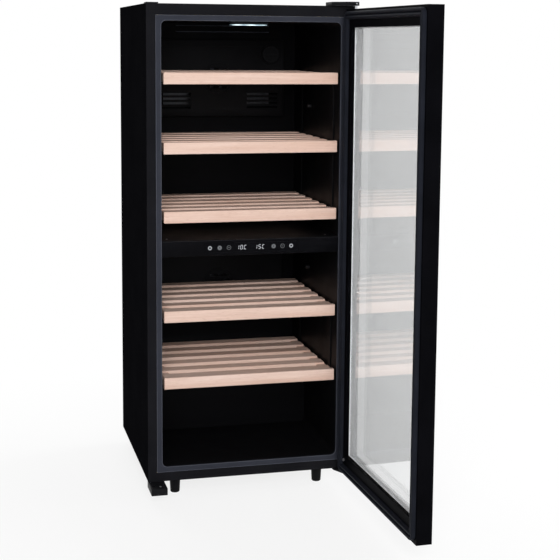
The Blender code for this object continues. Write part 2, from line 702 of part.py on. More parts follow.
def make_fan(zone):
    """The fan's ring and motor stand in the duct cover; the rotor turns on a shaft in the motor."""
    centre = fan_centre(zone)
    ring_inner = FAN_RADIUS + FAN_GAP
    ring_outer = ring_inner + FAN_RING
    ring_start = DUCT_FRONT + DUCT_WALL + GAP
    ring_end = ring_start + FAN_RING_DEPTH
    motor_start = ring_end - MOTOR_DEPTH
    profile = [(ring_inner, FAN_RING_DEPTH), (ring_inner, 0), (ring_outer, 0), (ring_outer, FAN_RING_DEPTH)]
    name = f"{ZONES[zone]}_fan_housing"
    ring = turned("ring", profile, "Y", (centre[0], ring_start, centre[1]), 32)
    housing = add(name, ring, look(f"{name}_black", BLACK, 0.5))
    arm = (about(0, ring_inner + ring_outer), (ring_end - PIN_EDGE - MOTOR_ARM[0], ring_end - PIN_EDGE),
           about(centre[1], MOTOR_ARM[1]))
    join(housing, boxes("arm", arm), "arm")
    stator_length = MOTOR_DEPTH + DUCT_WALL
    join(housing, cylinders("stator", "Y", MOTOR_RADIUS, motor_start, stator_length, [centre]), "stator")
    bore_length = PAST / 2 + SHAFT_REACH + PIN_END_SPACE
    bore = cylinders("bore", "Y", SHAFT_RADIUS + GAP, motor_start - PAST / 2, bore_length, [centre], 12)
    cut(housing, bore, "bore")

    home = (centre[0], 0, centre[1])
    axle = empty(f"{ZONES[zone]}_fan_axis", home, CABINET)
    hub_start = ring_start + HUB_LEAD
    hub_end = motor_start - GAP
    hub_middle = (hub_start + hub_end) / 2
    hub = cylinders("hub", "Y", MOTOR_RADIUS, hub_start, hub_end - hub_start, [centre])
    fan = add(f"{ZONES[zone]}_fan", hub, look(f"{ZONES[zone]}_fan_blades", CHARCOAL, 0.5), axle, home)
    join(fan, fan_blades(home, hub_middle), "blades")
    shaft_length = motor_start + SHAFT_REACH - hub_middle
    join(fan, cylinders("shaft", "Y", SHAFT_RADIUS, hub_middle, shaft_length, [centre], 12), "shaft")


def fan_blades(home, hub_middle):
    thickness, chord = BLADE
    root = MOTOR_RADIUS - BLADE_ROOT
    size = Matrix.Diagonal((FAN_RADIUS - root, thickness, chord, 1))
    place = Matrix.Translation(((FAN_RADIUS + root) / 2, hub_middle, 0))
    pitch = Matrix.Rotation(math.radians(BLADE_PITCH_DEG), 4, "X")
    bm = bmesh.new()
    for index in range(BLADE_COUNT):
        spoke = Matrix.Rotation(index * 2 * math.pi / BLADE_COUNT, 4, "Y")
        bmesh.ops.create_cube(bm, size=1, matrix=Matrix.Translation(home) @ spoke @ place @ pitch @ size)
    return new_mesh(bm, "blades")


def make_evaporator(zone):
    """Roll-bonded plate on the rear wall, inside the duct cover."""
    middle = fan_centre(zone)[1]
    half = DUCT_HALF - EVAPORATOR_MARGIN[0]
    height = DUCT_HEIGHT - 2 * EVAPORATOR_MARGIN[1]
    front = DUCT_BACK - EVAPORATOR_SHEET
    name = f"{ZONES[zone]}_evaporator"
    sheet = ((-half, half), (front, DUCT_BACK), about(middle, height))
    plate = add(name, boxes(name, sheet), look(f"{name}_aluminium", (0.30, 0.31, 0.32), 0.4, 0.9))
    reach = half - CHANNEL_INSET
    channels = []
    for row in range(CHANNEL_COUNT):
        rise = middle + (row - (CHANNEL_COUNT - 1) / 2) * height / (CHANNEL_COUNT + 1)
        channels.append(((-reach, reach), (front - CHANNEL[1], front + EVAPORATOR_SHEET / 2),
                         about(rise, CHANNEL[0])))
    join(plate, boxes("channels", *channels), "channels")


def make_charcoal_filter():
    """Round air filter on the front of the upper duct cover, in its corner."""
    centre = (DUCT_HALF - FILTER_INSET, DUCT_FRONT - GAP, duct_span(0)[1] - FILTER_INSET)
    profile = [(0, 0), (FILTER_RADIUS, 0), (FILTER_RADIUS, FILTER_EDGE - FILTER_DEPTH),
               (FILTER_RADIUS - FILTER_EDGE, -FILTER_DEPTH), (0, -FILTER_DEPTH)]
    part = add("charcoal_filter", turned("charcoal_filter", profile, "Y", centre, 28),
               look("filter_grey", (0.05, 0.05, 0.055), 0.6))
    smooth(part)


def make_probe(zone):
    start = CAVITY_SIDE - GAP - PROBE_LENGTH
    centre = (PROBE_PLACE, ZONE_CEILING[zone] - PROBE_DROP[zone])
    name = f"{ZONES[zone]}_temperature_probe"
    part = add(name, cylinders(name, "X", PROBE_RADIUS, start, PROBE_LENGTH, [centre], 16),
               look(f"{name}_grey", (0.35, 0.35, 0.36), 0.5))
    bevel(part, PROBE_EDGE, 2)


# ---------------------------------------------------------------- machine compartment and rear
def make_machine_plate():
    width, depth, thickness = MACHINE_PLATE
    sheet = (about(MACHINE_PLATE_PLACE, width), about(MACHINE_MIDDLE, depth),
             (MACHINE_FLOOR, MACHINE_FLOOR + thickness))
    plate = add("compressor_plate", boxes("compressor_plate", sheet), look("plate_zinc", STEEL, 0.4, 0.8))
    bevel(plate, GAP * 2, 1)


def make_compressor():
    """Sealed shell on a foot bar with four rubber feet, and its start relay on the side."""
    base = MACHINE_FLOOR + MACHINE_PLATE[2] + GAP
    centre = (COMPRESSOR_PLACE[0], MACHINE_MIDDLE + COMPRESSOR_PLACE[1])
    radius, height = COMPRESSOR_RADIUS, COMPRESSOR_HEIGHT
    foot_radius, foot_height = RUBBER_FOOT
    profile = [(0, height), (radius * 0.35, height), (radius * 0.72, height * 0.95),
               (radius * 0.93, height * 0.80), (radius, height * 0.55), (radius, foot_height + height * 0.15),
               (radius * 0.8, foot_height), (0, foot_height)]
    shell = add("compressor", turned("compressor", profile, "Z", (*centre, base), 28),
                look("compressor_black", BLACK, 0.5))
    smooth(shell)
    width, depth, thickness = COMPRESSOR_BASE
    bar_low = base + foot_height
    bar = (about(centre[0], width), about(centre[1], depth), (bar_low, bar_low + thickness))
    join(shell, boxes("foot_bar", bar), "foot_bar")
    reach_x = width / 2 - RUBBER_FOOT_INSET
    reach_y = depth / 2 - RUBBER_FOOT_INSET
    corners = [(centre[0] + a * reach_x, centre[1] + b * reach_y) for a in (-1, 1) for b in (-1, 1)]
    feet = cylinders("rubber_feet", "Z", foot_radius, base, foot_height + thickness / 3, corners, 12)
    join(shell, feet, "rubber_feet")

    width, depth, height = RELAY
    start = centre[0] + radius + GAP
    low = base + RELAY_LIFT
    box = ((start, start + width), about(centre[1], depth), (low, low + height))
    relay = add("start_relay", boxes("start_relay", box), look("relay_black", BLACK, 0.4))
    bevel(relay, 0.002, 1)


def make_drip_tray():
    width, depth, height = DRIP_TRAY
    base = MACHINE_FLOOR + MACHINE_PLATE[2] + GAP
    block = (about(DRIP_TRAY_PLACE, width), about(MACHINE_MIDDLE, depth), (base, base + height))
    tray = add("drip_tray", boxes("drip_tray", block), look("tray_grey", (0.3, 0.3, 0.31), 0.5))
    wall = DRIP_TRAY_WALL
    basin = (about(DRIP_TRAY_PLACE, width - 2 * wall), about(MACHINE_MIDDLE, depth - 2 * wall),
             (base + wall, base + height + PAST))
    cut(tray, boxes("basin", basin), "basin")


def make_filter_drier():
    end, taper, length = DRIER_NECK, DRIER_TAPER, DRIER_LENGTH
    profile = [(0, length), (end, length), (end, length - taper / 2), (DRIER_RADIUS, length - taper),
               (DRIER_RADIUS, taper), (end, taper / 2), (end, 0), (0, 0)]
    solid = turned("filter_drier", profile, "Z", (DRIER_PLACE, MACHINE_MIDDLE, MACHINE_FLOOR), 16)
    drier = add("filter_drier", solid, look("drier_copper", COPPER, 0.35, 0.9))
    smooth(drier)


def make_machine_cover():
    sheet = ((-INSIDE, INSIDE), (CABINET_DEPTH - SHEET, CABINET_DEPTH), (MACHINE_FLOOR, MACHINE_TOP))
    cover = add("machine_cover", boxes("machine_cover", sheet),
                look("cover_steel", (0.10, 0.10, 0.11), 0.5, 0.5))
    slots = []
    for column in range(VENT_COUNT[0]):
        x = VENT_START + column * VENT_PITCH[0]
        for row in range(VENT_COUNT[1]):
            z = BOTTOM + VENT_LIFT + row * VENT_PITCH[1]
            slots.append(((x, x + VENT[0]), about(CABINET_DEPTH, 2 * PAST), (z, z + VENT[1])))
    cut(cover, boxes("slots", *slots), "slots")


def make_power_inlet():
    width, depth, height = INLET
    middle = INLET_PLACE[0]
    start = CABINET_DEPTH + GAP
    low = MACHINE_TOP - INLET_PLACE[1] - height
    block = (about(middle, width), (start, start + depth), (low, low + height))
    inlet = add("power_inlet", boxes("power_inlet", block), look("inlet_black", BLACK, 0.4))
    bevel(inlet, 0.002, 1)
    side, floor, edge = INLET_WALL
    socket = (about(middle, width - 2 * side), (start + floor, start + depth + PAST),
              (low + edge, low + height - edge))
    cut(inlet, boxes("socket", socket), "socket")


def make_condenser():
    """One flat serpentine tube outside the rear wall."""
    low = MACHINE_TOP + CONDENSER_FOOT
    pitch = (TOP - CONDENSER_HEAD - low) / (CONDENSER_RUNS - 1)
    bend = pitch / 2
    reach = SIDE - CONDENSER_MARGIN - bend
    y = CABINET_DEPTH + GAP + CONDENSER_TUBE
    points = []
    for run in range(CONDENSER_RUNS):
        z = low + run * pitch
        sign = 1 if run % 2 == 0 else -1
        points.append((-sign * reach, y, z))
        points.append((sign * reach, y, z))
        if run < CONDENSER_RUNS - 1:
            for degrees in (-45, 0, 45):
                angle = math.radians(degrees)
                points.append((sign * (reach + bend * math.cos(angle)), y, z + bend + bend * math.sin(angle)))
    part = add("condenser_coil", tube("condenser_coil", points, CONDENSER_TUBE),
               look("condenser_black", BLACK, 0.45))
    smooth(part, 50)


# ---------------------------------------------------------------- hinge fittings, cap and feet
def hinge_eye(low):
    return cylinders("eye", "Z", PIN_RADIUS + GAP, low - PAST, 2 * PAST, [HINGE.xy], 20)


def top_cover_outline(inset):
    """The hinge cover seen from above, drawn in by an inset: it narrows to a round end about the pin."""
    left = SIDE - TOP_HINGE_WIDTH + inset
    right = SIDE - HINGE_SIDE_GAP - inset
    back = TOP_HINGE_BACK - inset
    tip = SIDE - TOP_HINGE_TIP + inset / 2
    radius = right - HINGE.x
    turns = [math.radians(15 * i - 90) for i in range(7)]
    end = [(HINGE.x + radius * math.cos(t), HINGE.y + radius * math.sin(t)) for t in turns]
    return [(left, back), (left, -TOP_HINGE_SHOULDER + inset / 2), (tip, end[0][1]), *end, (right, back)]


def make_top_hinge():
    base = TOP + GAP
    cover_top = base + TOP_COVER_HEIGHT
    cover = add("top_hinge_cover", extruded("top_hinge_cover", top_cover_outline(0), "Z", base, cover_top),
                look("hinge_cover_black", BLACK, 0.4))
    bevel(cover, TOP_COVER_EDGE, 2)
    inner = top_cover_outline(TOP_COVER_WALL)
    cut(cover, extruded("pocket", inner, "Z", base - PAST, cover_top - TOP_COVER_ROOF), "pocket")

    outline = top_cover_outline(TOP_COVER_WALL + 2 * GAP)
    plate = add("top_hinge_plate", extruded("top_hinge_plate", outline, "Z", base, base + HINGE_SHEET),
                look("hinge_steel", STEEL, 0.35, 0.9))
    cut(plate, hinge_eye(base), "eye")

    low = DOOR_TOP - PIN_ENGAGEMENT
    head = base + HINGE_SHEET + GAP
    head_radius, head_height = PIN_HEAD
    profile = [(0, head + head_height), (head_radius - PIN_EDGE, head + head_height),
               (head_radius, head + head_height - PIN_EDGE), (head_radius, head), (PIN_RADIUS, head),
               (PIN_RADIUS, low + PIN_EDGE), (PIN_RADIUS - PIN_EDGE, low), (0, low)]
    pin = add("top_hinge_pin", turned("top_hinge_pin", profile, "Z", (HINGE.x, HINGE.y, 0), 20),
              look("pin_steel", STEEL, 0.25, 1.0))
    smooth(pin)


def make_bottom_hinge():
    top = BOTTOM - GAP
    low = top - BOTTOM_PLATE
    left = SIDE - BOTTOM_HINGE_WIDTH
    right = SIDE - HINGE_SIDE_GAP
    outline = [(left, BOTTOM_HINGE_BACK), (left, 0.0), (SIDE - BOTTOM_HINGE_TIP, -BOTTOM_HINGE_REACH),
               (right, -BOTTOM_HINGE_REACH), (right, BOTTOM_HINGE_BACK)]
    plate = add("bottom_hinge_plate", extruded("bottom_hinge_plate", outline, "Z", low, top),
                look("bottom_hinge_black", BLACK, 0.4))
    bevel(plate, BOTTOM_HINGE_EDGE, 1)
    cut(plate, hinge_eye(low), "eye")

    end = DOOR_BOTTOM + PIN_ENGAGEMENT
    rivet_radius, rivet_height = RIVET
    profile = [(0, end), (PIN_RADIUS - PIN_EDGE, end), (PIN_RADIUS, end - PIN_EDGE),
               (PIN_RADIUS, DOOR_BOTTOM - GAP), (COLLAR_RADIUS, DOOR_BOTTOM - GAP),
               (COLLAR_RADIUS, top + GAP), (PIN_RADIUS, top + GAP), (PIN_RADIUS, low - GAP),
               (rivet_radius, low - GAP), (rivet_radius, low - rivet_height), (0, low - rivet_height)]
    pin = add("bottom_hinge_pin", turned("bottom_hinge_pin", profile, "Z", (HINGE.x, HINGE.y, 0), 20),
              look("bottom_pin_steel", STEEL, 0.25, 1.0))
    smooth(pin)


def make_spare_hinge_block():
    width, reach, height = SPARE_BLOCK
    left = -SIDE + CAP_INSET
    top = BOTTOM - GAP
    block = ((left, left + width), (-reach, SPARE_BLOCK_BACK), (top - height, top))
    part = add("spare_hinge_block", boxes("spare_hinge_block", block), look("spare_block_black", BLACK, 0.4))
    bevel(part, 0.002, 2)
    hole = cylinders("pin_hole", "Z", PIN_RADIUS, top - SPARE_HOLE_DEPTH, PAST, [(-HINGE.x, HINGE.y)], 20)
    cut(part, hole, "pin_hole")


def make_corner_cap():
    width, depth, height = CORNER_CAP
    left = -SIDE + CAP_INSET
    block = ((left, left + width), (CAP_INSET, CAP_INSET + depth), (TOP + GAP, TOP + GAP + height))
    part = add("corner_cap", boxes("corner_cap", block), look("cap_black", BLACK, 0.4))
    bevel(part, 0.001, 2)


def make_foot(corner):
    x, y = FOOT_PLACES[corner]
    top = BOTTOM - GAP
    end = top + STUD_LENGTH
    profile = [(0, end), (STUD_RADIUS - STUD_EDGE, end), (STUD_RADIUS, end - STUD_EDGE), (STUD_RADIUS, top),
               (FOOT_RADIUS, top), (FOOT_RADIUS, top - FOOT_BAND), (FOOT_SOLE_RADIUS, FOOT_EDGE),
               (FOOT_SOLE_RADIUS - FOOT_EDGE, 0), (0, 0)]
    screw_axis = empty(f"{corner}_foot_axis", (x, y, 0), CABINET)
    part = add(f"{corner}_foot", turned("foot", profile, "Z", (x, y, 0), 24),
               look(f"{corner}_foot_black", BLACK, 0.5), screw_axis, (x, y, 0))
    smooth(part)


# ---------------------------------------------------------------- door, drawn closed
def on_door(name, mesh, material):
    return add(name, mesh, material, DOOR, HINGE)


def door_area(insets, corner=0.0):
    """The door's outline drawn in at its sides, top and bottom."""
    side, top, bottom = insets
    low = (-SIDE + side, DOOR_BOTTOM + bottom)
    high = (SIDE - side, DOOR_TOP - top)
    return rounded_outline(low, high, corner) if corner else [low, (high[0], low[1]), high, (low[0], high[1])]


def door_slab(name, insets, y_low, y_high, corner=0.0):
    return extruded(name, door_area(insets, corner), "Y", y_low, y_high)


def all_round(inset):
    return (inset, inset, inset)


def lip_insets(overlap):
    """The visible frame's widths, less what lies behind them."""
    return (DOOR_LIP_SIDE - overlap, DOOR_LIP_TOP - overlap, DOOR_LIP_BOTTOM - overlap)


def make_door_frame():
    part = on_door("door_frame", door_slab("door_frame", all_round(0), DOOR_OUTER, DOOR_INNER),
                   look("door_black", BLACK, 0.4))
    cut(part, door_slab("lip", lip_insets(0), DOOR_OUTER - PAST, PAST), "lip")
    pocket = door_slab("pocket", lip_insets(GLASS_POCKET), DOOR_OUTER - PAST, DOOR_INNER - DOOR_LIP_DEPTH)
    cut(part, pocket, "pocket")
    rebate_insets = all_round(OUTER_GLASS_INSET - GAP)
    cut(part, door_slab("rebate", rebate_insets, DOOR_OUTER - PAST, DOOR_OUTER + GLASS + GAP), "rebate")
    depth = PIN_ENGAGEMENT + PIN_END_SPACE
    for name, low in (("lower_bore", DOOR_BOTTOM - PAST), ("upper_bore", DOOR_TOP - depth)):
        cut(part, cylinders(name, "Z", PIN_RADIUS + GAP, low, PAST + depth, [HINGE.xy], 20), name)


def make_glazing():
    """Outer pane in the frame's rebate, inner pane in its pocket and a spacer frame between them."""
    inner_face = DOOR_INNER - DOOR_LIP_DEPTH - GAP
    seat = lip_insets(GLASS_POCKET - GAP)
    on_door("inner_glass", door_slab("inner_glass", seat, inner_face - GLASS, inner_face),
            look("inner_pane", (0.75, 0.80, 0.80), 0.05))
    outer_back = DOOR_OUTER + GLASS
    on_door("outer_glass", door_slab("outer_glass", all_round(OUTER_GLASS_INSET), DOOR_OUTER, outer_back),
            look("outer_pane", (0.10, 0.11, 0.12), 0.05))
    block = door_slab("glass_spacer", seat, outer_back + GAP, inner_face - GLASS - GAP)
    spacer = on_door("glass_spacer", block, look("spacer_grey", (0.75, 0.77, 0.78), 0.4))
    clear = lip_insets(GLASS_POCKET - GAP - SPACER_WIDTH)
    cut(spacer, door_slab("clear", clear, DOOR_OUTER - PAST, PAST), "clear")


def make_gasket():
    outer = all_round(GASKET_INSET)
    block = door_slab("door_gasket", outer, DOOR_INNER + GAP, -GASKET_CLEARANCE, GASKET_CORNER)
    ring = on_door("door_gasket", block, look("gasket_grey", BLUE_GREY, 0.5))
    inside = all_round(GASKET_INSET + GASKET_WIDTH)
    cut(ring, door_slab("inside", inside, DOOR_OUTER - PAST, PAST, GASKET_INNER_CORNER), "inside")


def make_door_peg():
    """Small plug beside the lower hinge, on the door's inner face."""
    radius, height = PEG
    place = (SIDE - PEG_INSET[0], DOOR_INNER + GAP, DOOR_BOTTOM + PEG_INSET[1])
    profile = [(0, height), (radius - PEG_EDGE, height), (radius, height - PEG_EDGE), (radius, 0), (0, 0)]
    part = on_door("door_peg", turned("door_peg", profile, "Y", place, 16),
                   look("peg_white", (0.7, 0.7, 0.7), 0.4))
    smooth(part)


make_outer_casing()
make_insulation()
make_inner_liner()
make_back_panel()
make_zone_divider()
make_control_fascia()
make_display()
shelf_number = 0
for zone_index in range(len(ZONES)):
    make_lamp(zone_index)
    make_side_rail(zone_index, "left", -1)
    make_side_rail(zone_index, "right", 1)
    make_duct_cover(zone_index)
    make_fan(zone_index)
    make_evaporator(zone_index)
    make_probe(zone_index)
    for shelf_bottom in shelf_bottoms(zone_index):
        shelf_number += 1
        make_shelf(shelf_number, shelf_bottom)
make_charcoal_filter()
make_machine_plate()
make_compressor()
make_drip_tray()
make_filter_drier()
make_machine_cover()
make_power_inlet()
make_condenser()
make_top_hinge()
make_bottom_hinge()
make_spare_hinge_block()
make_corner_cap()
for foot_corner in FOOT_PLACES:
    make_foot(foot_corner)
make_door_frame()
make_glazing()
make_gasket()
make_door_peg()
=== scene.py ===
import json
from math import cos, pi, radians, sin

import bmesh
import bpy
from mathutils import Matrix, Vector
from mathutils.geometry import tessellate_polygon


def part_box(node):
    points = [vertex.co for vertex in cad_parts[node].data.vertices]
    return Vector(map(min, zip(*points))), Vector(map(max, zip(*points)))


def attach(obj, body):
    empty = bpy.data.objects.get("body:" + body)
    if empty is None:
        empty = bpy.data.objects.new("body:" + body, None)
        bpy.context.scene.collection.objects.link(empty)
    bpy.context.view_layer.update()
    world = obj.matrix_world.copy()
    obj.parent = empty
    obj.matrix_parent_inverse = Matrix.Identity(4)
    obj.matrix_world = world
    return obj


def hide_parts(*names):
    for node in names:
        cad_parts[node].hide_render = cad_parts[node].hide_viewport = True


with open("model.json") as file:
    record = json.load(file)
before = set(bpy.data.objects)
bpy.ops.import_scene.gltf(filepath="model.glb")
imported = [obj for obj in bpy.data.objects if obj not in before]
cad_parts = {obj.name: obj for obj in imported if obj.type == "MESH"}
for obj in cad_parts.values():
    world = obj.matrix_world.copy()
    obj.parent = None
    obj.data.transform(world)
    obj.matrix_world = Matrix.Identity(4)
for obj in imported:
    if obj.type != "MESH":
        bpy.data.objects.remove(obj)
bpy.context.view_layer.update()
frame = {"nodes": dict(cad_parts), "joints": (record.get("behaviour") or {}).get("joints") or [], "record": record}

MM = 0.001

casing_low, casing_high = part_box("outer_casing")
AT = Matrix.Translation(((casing_low.x + casing_high.x) / 2, casing_low.y, 0))
door_hinge = next(j for j in frame["joints"] if j["name"] == "door_hinge")
PIVOT = Matrix.Translation(door_hinge["pos_m"])
OPENED = Matrix.Rotation(radians(-door_hinge["range_deg"][0]), 4, "Z")
ON_DOOR = PIVOT @ OPENED @ PIVOT.inverted() @ AT

# Local X, Y and Z of a shape that lies on a face, Z pointing away from the face
FORWARD = Matrix(((1, 0, 0, 0), (0, 0, -1, 0), (0, 1, 0, 0), (0, 0, 0, 1)))
REARWARD = Matrix(((-1, 0, 0, 0), (0, 0, 1, 0), (0, 1, 0, 0), (0, 0, 0, 1)))
UPWARD = Matrix()
DOWNWARD = Matrix.Rotation(pi, 4, "X")


def box(node, at=AT):
    """Lowest and highest corner of a CAD node in cabinet coordinates."""
    back = at.inverted()
    points = [back @ v.co for v in frame["nodes"][node].data.vertices]
    return (Vector(min(p[i] for p in points) for i in range(3)),
            Vector(max(p[i] for p in points) for i in range(3)))


def on(x, y, z, facing=UPWARD):
    """The place of a shape on a face, and the way that the face points."""
    return Matrix.Translation((x, y, z)) @ facing


# Shapes


def circle(radius, sides=24, middle=(0, 0)):
    turns = [2 * pi * i / sides for i in range(sides)]
    return [(middle[0] + radius * cos(turn), middle[1] + radius * sin(turn)) for turn in turns]


def rounded(width, height, radius, steps=6):
    """Outline of a rounded rectangle about 0, anticlockwise."""
    points = []
    for corner in range(4):
        across, up = ((1, 1), (-1, 1), (-1, -1), (1, -1))[corner]
        for i in range(steps + 1):
            turn = (corner + i / steps) * pi / 2
            points.append((across * (width / 2 - radius) + radius * cos(turn),
                           up * (height / 2 - radius) + radius * sin(turn)))
    return points


def inset(loop, distance):
    """The anticlockwise loop moved inwards."""
    moved = []
    for i, here in enumerate(loop):
        before, after = Vector(loop[i - 1]), Vector(loop[(i + 1) % len(loop)])
        one, two = (Vector(here) - before).normalized(), (after - Vector(here)).normalized()
        one, two = Vector((-one.y, one.x)), Vector((-two.y, two.x))
        moved.append(tuple(Vector(here) + (one + two) * distance / max(1 + one.dot(two), 0.3)))
    return moved


def cross(reach, arm):
    """Outline of a cross whose arms narrow outwards, anticlockwise."""
    tip = 0.75 * arm
    quarter = [(reach, -tip), (reach, tip), (arm, arm)]
    return [(x * cos(t) - y * sin(t), x * sin(t) + y * cos(t))
            for t in (0, pi / 2, pi, 3 * pi / 2) for x, y in quarter]


class Solid:
    """Points and faces that become one piece."""

    def __init__(self):
        self.points, self.faces = [], []

    def add(self, points, faces, at=UPWARD):
        first = len(self.points)
        self.points += [at @ Vector(p) for p in points]
        self.faces += [[first + i for i in face] for face in faces]
        return self

    def prism(self, outline, base, top, at=UPWARD, holes=(), chamfer=0.0):
        """The outline, less its holes, between two heights, its upper outer edge chamfered."""
        levels = [(base, 0), (top - chamfer, 0), (top, chamfer)] if chamfer else [(base, 0), (top, 0)]
        points, faces, caps = [], [], []
        for height, cut in levels:
            cap, first = [], len(points)
            for number, loop in enumerate([outline, *holes]):
                cap.append(inset(loop, cut) if cut and not number else list(loop))
            caps.append((first, cap))
            points += [(x, y, height) for loop in cap for x, y in loop]
        for (low, loops), (high, _) in zip(caps, caps[1:]):
            start = 0
            for loop in loops:
                count = len(loop)
                for i in range(count):
                    j = (i + 1) % count
                    faces.append([low + start + i, low + start + j, high + start + j, high + start + i])
                start += count
        for first, loops in (caps[0], caps[-1]):
            flat = [[Vector((x, y, 0)) for x, y in loop] for loop in loops]
            faces += [[first + i for i in triangle] for triangle in tessellate_polygon(flat)]
        return self.add(points, faces, at)

    def block(self, size, at=UPWARD, corner=0.001, chamfer=0.0005, steps=2):
        """A bar standing on its base, with rounded corners and a chamfered top."""
        return self.prism(rounded(size[0], size[1], corner, steps), 0, size[2], at, chamfer=chamfer)

    def lathe(self, profile, at=UPWARD, sides=32, closed=False):
        """The profile of radii and heights turned about Z."""
        points, rings, faces = [], [], []
        for radius, height in profile:
            ring = [(0, 0)] if radius == 0 else circle(radius, sides)
            rings.append(range(len(points), len(points) + len(ring)))
            points += [(x, y, height) for x, y in ring]
        for low, high in zip(rings, rings[1:] + rings[:1] if closed else rings[1:]):
            for i in range(sides):
                j = (i + 1) % sides
                face = [low[i % len(low)], low[j % len(low)], high[j % len(high)], high[i % len(high)]]
                faces.append(list(dict.fromkeys(face)))
        return self.add(points, faces, at)

    def rod(self, start, end, radius, sides=8):
        """A round rod between two points."""
        start, end = Vector(start), Vector(end)
        ahead = (end - start).normalized()
        side = ahead.orthogonal().normalized()
        up = ahead.cross(side)
        points = [here + radius * (x * side + y * up) for here in (start, end) for x, y in circle(1, sides)]
        faces = [[i, (i + 1) % sides, sides + (i + 1) % sides, sides + i] for i in range(sides)]
        return self.add(points, faces + [list(range(sides)), list(range(sides, 2 * sides))])

    def ring(self, section, width, height, radius, at=UPWARD, steps=8):
        """A frame: the section of insets and heights carried round a rounded rectangle."""
        points, faces = [], []
        for cut, level in section:
            corner = max(radius - cut, 0.0008)
            points += [(x, y, level) for x, y in rounded(width - 2 * cut, height - 2 * cut, corner, steps)]
        count = 4 * (steps + 1)
        for i in range(len(section)):
            j = (i + 1) % len(section)
            for a in range(count):
                b = (a + 1) % count
                faces.append([i * count + a, i * count + b, j * count + b, j * count + a])
        return self.add(points, faces, at)

    def screw(self, at, radius=0.003, height=0.0016):
        """A pan-head screw with a cross recess."""
        recess = cross(radius * 0.55, radius * 0.14)
        self.prism(circle(radius), 0, height, at, [recess], radius * 0.3)
        return self.prism(inset(recess, -0.00002), 0, height * 0.3, at)

    def piece(self, name, body, material, slot, at=AT, replaces=()):
        """Makes the piece, which rides the body and may stand in for CAD nodes; its slot is not used."""
        data = bpy.data.meshes.new(name)
        data.from_pydata(self.points, [], self.faces)
        work = bmesh.new()
        work.from_mesh(data)
        bmesh.ops.recalc_face_normals(work, faces=work.faces)
        work.to_mesh(data)
        work.free()
        data.transform(at)
        data.materials.append(material)
        made = bpy.data.objects.new(name, data)
        bpy.context.scene.collection.objects.link(made)
        smooth(made)
        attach(made, body)
        if replaces:
            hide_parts(*replaces)
        return made


def smoothing_nodes(limit=radians(32)):
    """A node group that shades faces smooth but keeps edges past the limit sharp."""
    group = bpy.data.node_groups.new("smooth_by_angle", "GeometryNodeTree")
    for way in ("INPUT", "OUTPUT"):
        group.interface.new_socket("Geometry", in_out=way, socket_type="NodeSocketGeometry")
    new, link = group.nodes.new, group.links.new
    start, end = new("NodeGroupInput"), new("NodeGroupOutput")
    clear = new("GeometryNodeRemoveAttribute")
    clear.inputs["Name"].default_value = "custom_normal"
    faces, edges = new("GeometryNodeSetShadeSmooth"), new("GeometryNodeSetShadeSmooth")
    edges.domain = "EDGE"
    edges.inputs["Shade Smooth"].default_value = False
    angle, past = new("GeometryNodeInputMeshEdgeAngle"), new("FunctionNodeCompare")
    past.operation = "GREATER_THAN"
    past.inputs[1].default_value = limit
    link(angle.outputs["Unsigned Angle"], past.inputs[0])
    link(past.outputs[0], edges.inputs["Selection"])
    link(start.outputs[0], clear.inputs["Geometry"])
    link(clear.outputs["Geometry"], faces.inputs["Geometry"])
    link(faces.outputs["Geometry"], edges.inputs["Geometry"])
    link(edges.outputs["Geometry"], end.inputs[0])
    return group


SMOOTHING = smoothing_nodes()


def smooth(item, weld=False):
    """Shades curved faces smooth, by modifiers, so that a CAD mesh stays as it is."""
    if weld:
        item.modifiers.new("weld", "WELD").merge_threshold = 0.000002
    item.modifiers.new("smooth", "NODES").node_group = SMOOTHING


# Materials


def rgb(red, green, blue):
    """A colour from 0 to 255, as a picture shows it."""
    shares = (c / 3294.6 if c <= 10 else ((c / 255 + 0.055) / 1.055) ** 2.4 for c in (red, green, blue))
    return (*shares, 1)


def add(tree, kind, settings=None, **inputs):
    """A shader node. An input that is a socket is linked and any other is set; _0 is the first input."""
    made = tree.nodes.new("ShaderNode" + kind)
    for name, value in (settings or {}).items():
        setattr(made, name, value)
    for name, value in inputs.items():
        socket = made.inputs[int(name[1:]) if name[0] == "_" else name.replace("_", " ")]
        if isinstance(value, bpy.types.NodeSocket):
            tree.links.new(value, socket)
        else:
            socket.default_value = value
    return made


def ramp(tree, factor, *stops):
    """Colours at given factors."""
    made = add(tree, "ValToRGB", Fac=factor)
    elements = made.color_ramp.elements
    while len(elements) < len(stops):
        elements.new(0.5)
    for element, (place, colour) in zip(elements, stops):
        element.position, element.color = place, colour
    return made.outputs["Color"]


def calc(tree, operation, *values):
    sockets = {f"_{i}": value for i, value in enumerate(values)}
    return add(tree, "Math", {"operation": operation}, **sockets).outputs[0]


def remap(tree, value, from_low, from_high, low=0.0, high=1.0):
    return add(tree, "MapRange", Value=value, From_Min=from_low, From_Max=from_high,
               To_Min=low, To_Max=high).outputs[0]


def noise(tree, place, size, stretch=(1, 1, 1), detail=3.0):
    """Noise whose features are about this size, made longer along an axis by its stretch."""
    scale = [1 / s for s in stretch]
    moved = add(tree, "Mapping", Vector=place, Scale=scale).outputs[0]
    return add(tree, "TexNoise", Vector=moved, Scale=1 / size, Detail=detail).outputs[0]


def blank(name, **sockets):
    """A material's tree, its shader and the object coordinates, with plain sockets set."""
    made = bpy.data.materials.new(name)
    made.use_nodes = True
    tree = made.node_tree
    shader = tree.nodes["Principled BSDF"]
    for socket, value in sockets.items():
        shader.inputs[socket.replace("_", " ")].default_value = value
    return made, tree, shader, add(tree, "TexCoord").outputs["Object"]


